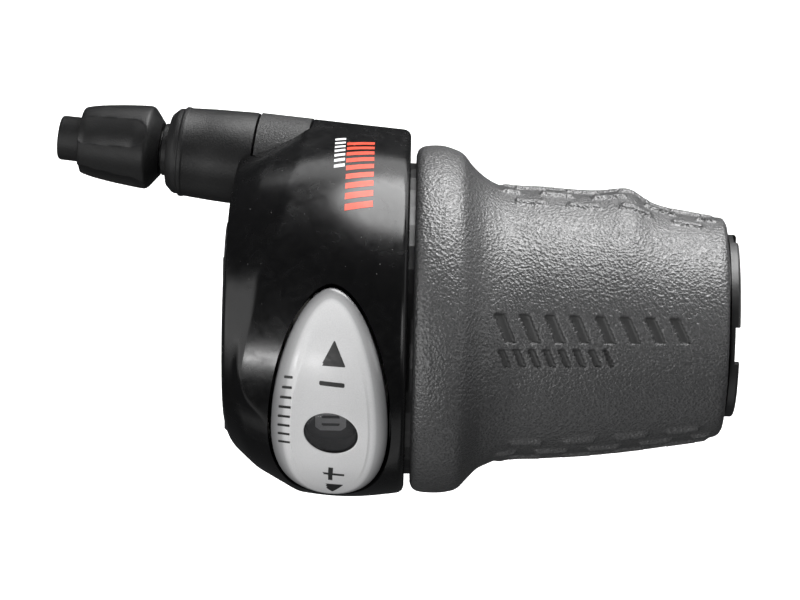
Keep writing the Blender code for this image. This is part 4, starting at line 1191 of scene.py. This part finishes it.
def knob_radius(height, angle):
    """Radius of the adjuster knob, with wide scoops that run out near its big end."""
    result = along(height, KNOB_PROFILE)
    depth = SCOOP_DEPTH - SCOOP_FADE * max(0.0, SCOOP_FULL_FROM - height) ** 2
    reach = along(height, KNOB_PROFILE[4:-3]) + SCOOP_RADIUS - depth
    for number in range(SCOOPS):
        away = (angle - SCOOP_ANGLE - number * tau / SCOOPS + pi) % tau - pi
        inside = SCOOP_RADIUS ** 2 - (reach * sin(away)) ** 2
        if abs(away) <= SCOOP_HALF_ANGLE and inside > 0:
            result = min(result, reach * cos(away) - sqrt(inside))
    return result


def adjuster_knob(finish):
    """Scooped knob with its slit end, bore and stem."""
    heights = [KNOB_START, 9.36, 9.6, 9.9, 10.2, 10.5, 10.75, 10.9, 11.1, 11.3]
    while heights[-1] < 20.4:
        heights.append(heights[-1] + KNOB_STEP_LENGTH)
    heights += [20.6, 20.7, 20.8, 20.88, 20.94, 20.98, KNOB_END]
    rows = [ring(STEM_RADIUS, KNOB_START, KNOB_STEPS)]
    for height in heights:
        rows.append([])
        for step in range(KNOB_STEPS):
            angle = tau * step / KNOB_STEPS
            radius = knob_radius(height, angle)
            rows[-1].append(Vector((radius * cos(angle), radius * sin(angle), height)))
    rows += [ring(radius, height, KNOB_STEPS) for radius, height in STUB_PROFILE]
    knob = skin("adjuster_knob", rows, matrix=OUTLET_FRAME)
    cut(knob, block("slit", *SLIT, OUTLET_FRAME @ Matrix.Rotation(SLIT_ANGLE, 4, "Z")))
    knob.data.materials.append(finish)
    smooth(knob, 35.0)
    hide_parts("adjusting_barrel")
    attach(knob, "barrel")


def adjuster_collar(finish):
    """Plain ring between the knob and the tube."""
    collar = turned("adjuster_collar", COLLAR_PROFILE, OUTLET_FRAME, 96)
    collar.data.materials.append(finish)
    smooth(collar, 30.0)
    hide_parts("click_collar")
    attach(collar, "collar")


# ---------------------------------------------------------------- stage

def dress_cad_nodes(finishes):
    """Give the CAD's own nodes that stay in view a worked material and small fillets."""
    for name, (finish, width) in finishes.items():
        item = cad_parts[name]
        for place in range(len(item.data.materials)):
            item.material_slots[place].material = finish
        if width:
            round_edges(item, width, 30.0, 2)


def add_light(name, place, width, height, power, aim=AIM):
    """Soft elliptical lamp."""
    light = bpy.data.lights.new(name, "AREA")
    light.shape = "ELLIPSE"
    light.size = width
    light.size_y = height
    light.energy = power
    item = bpy.data.objects.new(name, light)
    item.location = place
    item.rotation_euler = (Vector(aim) - Vector(place)).to_track_quat("-Z", "Y").to_euler()
    item.visible_camera = False
    bpy.context.scene.collection.objects.link(item)


def studio():
    """Dim surround that is seen as white, lamps, a pale floor and the camera."""
    scene = bpy.context.scene
    world = bpy.data.worlds.new("studio")
    scene.world = world
    world.use_nodes = True
    tree = world.node_tree
    dim = tree.nodes["Background"]
    seen = tree.nodes.new("ShaderNodeBackground")
    mix = tree.nodes.new("ShaderNodeMixShader")
    rays = tree.nodes.new("ShaderNodeLightPath")
    tree.links.new(rays.outputs["Is Camera Ray"], mix.inputs["Fac"])
    for item, socket, colour, strength in ((dim, 1, (0.9, 0.92, 0.95), 0.05),
                                           (seen, 2, (1.0, 1.0, 1.0), 1.0)):
        item.inputs["Color"].default_value = (*colour, 1.0)
        item.inputs["Strength"].default_value = strength
        tree.links.new(item.outputs["Background"], mix.inputs[socket])
    tree.links.new(mix.outputs["Shader"], tree.nodes["World Output"].inputs["Surface"])

    lowest = cad_box[0][2]
    add_light("key_front", (0.19, 0.58, 0.1), 0.5, 0.5, 7.2)
    add_light("front_table", (0.14, 0.24, lowest - 0.02), 0.45, 0.3, 0.8, TABLE_AIM)
    for lamp in LIGHTS:
        add_light(*lamp)

    mesh = bmesh.new()
    bmesh.ops.create_grid(mesh, x_segments=8, y_segments=8, size=3.0)
    ground = add_mesh("floor", mesh)
    ground.location = (0.0, 0.0, lowest - 0.03)
    paper = Shader("paper_floor", (0.93, 0.93, 0.93), 0.8)
    paper.colour(paper.blend(paper.noise(30.0), (0.92, 0.92, 0.92), (0.94, 0.94, 0.94)))
    paper.shader.inputs["Emission Color"].default_value = (1.0, 1.0, 1.0, 1.0)
    paper.shader.inputs["Emission Strength"].default_value = 0.8
    ground.data.materials.append(paper.material)
    ground.visible_glossy = False
    ground.visible_diffuse = False

    camera = bpy.data.cameras.new("camera")
    camera.lens = LENS
    camera.sensor_width = SENSOR
    camera.clip_end = 20.0
    item = bpy.data.objects.new("camera", camera)
    scene.collection.objects.link(item)
    item.location = VIEW_CENTRE + Vector((0, 0, VIEW_WIDTH * LENS / SENSOR))
    item.rotation_euler = (0.0, 0.0, VIEW_ROLL)
    scene.camera = item
    scene.view_settings.view_transform = "Standard"


# ---------------------------------------------------------------- the object

gloss = moulded_plastic("gloss_black", (0.003, 0.003, 0.0032), 0.24, grain=0.6, depth=0.003,
                        specks=0.5, Specular_IOR_Level=0.36)
satin = moulded_plastic("satin_black", (0.012, 0.012, 0.0122), 0.38)
bracket_plastic = moulded_plastic("bracket_black", (0.012, 0.012, 0.0122), 0.42, depth=0.02)
outlet_plastic = moulded_plastic("outlet_satin", (0.008, 0.008, 0.0082), 0.48, grain=0.26,
                                 depth=0.035, Specular_IOR_Level=0.3)
matt = moulded_plastic("matt_black", (0.008, 0.008, 0.0082), 0.46, grain=0.22, depth=0.03,
                       Specular_IOR_Level=0.26)
stipple = stippled_plastic("stippled_black", (0.012, 0.012, 0.0122), 0.5)
dial_black = moulded_plastic("dial_black", (0.006, 0.006, 0.0062), 0.45)
nylon = moulded_plastic("natural_acetal", (0.72, 0.71, 0.67), 0.4)
black_steel = metal_material("blackened_steel", (0.32, 0.32, 0.33), 0.32)
spring_steel = metal_material("spring_steel", (0.6, 0.6, 0.62), 0.24)

housing_shell(gloss)
housing_graphics(print_material("red_ink", (0.72, 0.06, 0.02)),
                 print_material("white_ink", (0.8, 0.8, 0.8)))
indicator_plate(silver_plate_material(), dial_black)
plate_marks(print_material("black_ink", (0.012, 0.012, 0.012)))
window_lens(clear_material())
dial_figures(print_material("grey_ink", (0.4, 0.4, 0.41)))
grip_sleeve(grip_rubber_material())
bar_liner(satin)
clamp_bracket(bracket_plastic, stipple)
outlet_tube(outlet_plastic)
adjuster_knob(matt)
adjuster_collar(matt)

dress_cad_nodes({
    "grip_core": (satin, 0.0),
    "indicator_dial": (dial_black, 0.0),
    "access_plug": (satin, 0.0),
    "clamp_bolt": (black_steel, 0.12),
    "clamp_nut": (black_steel, 0.12),
    "cover_screw_1": (black_steel, 0.05),
    "cover_screw_2": (black_steel, 0.05),
    "cover_screw_3": (black_steel, 0.05),
    "spring_screw": (black_steel, 0.05),
    "click_spring": (spring_steel, 0.0),
    "detent_spring": (spring_steel, 0.0),
    "index_ring": (spring_steel, 0.0),
    "winding_drum": (nylon, 0.0),
    "thrust_washer": (nylon, 0.0),
    "cable_guide": (nylon, 0.0)})

studio()
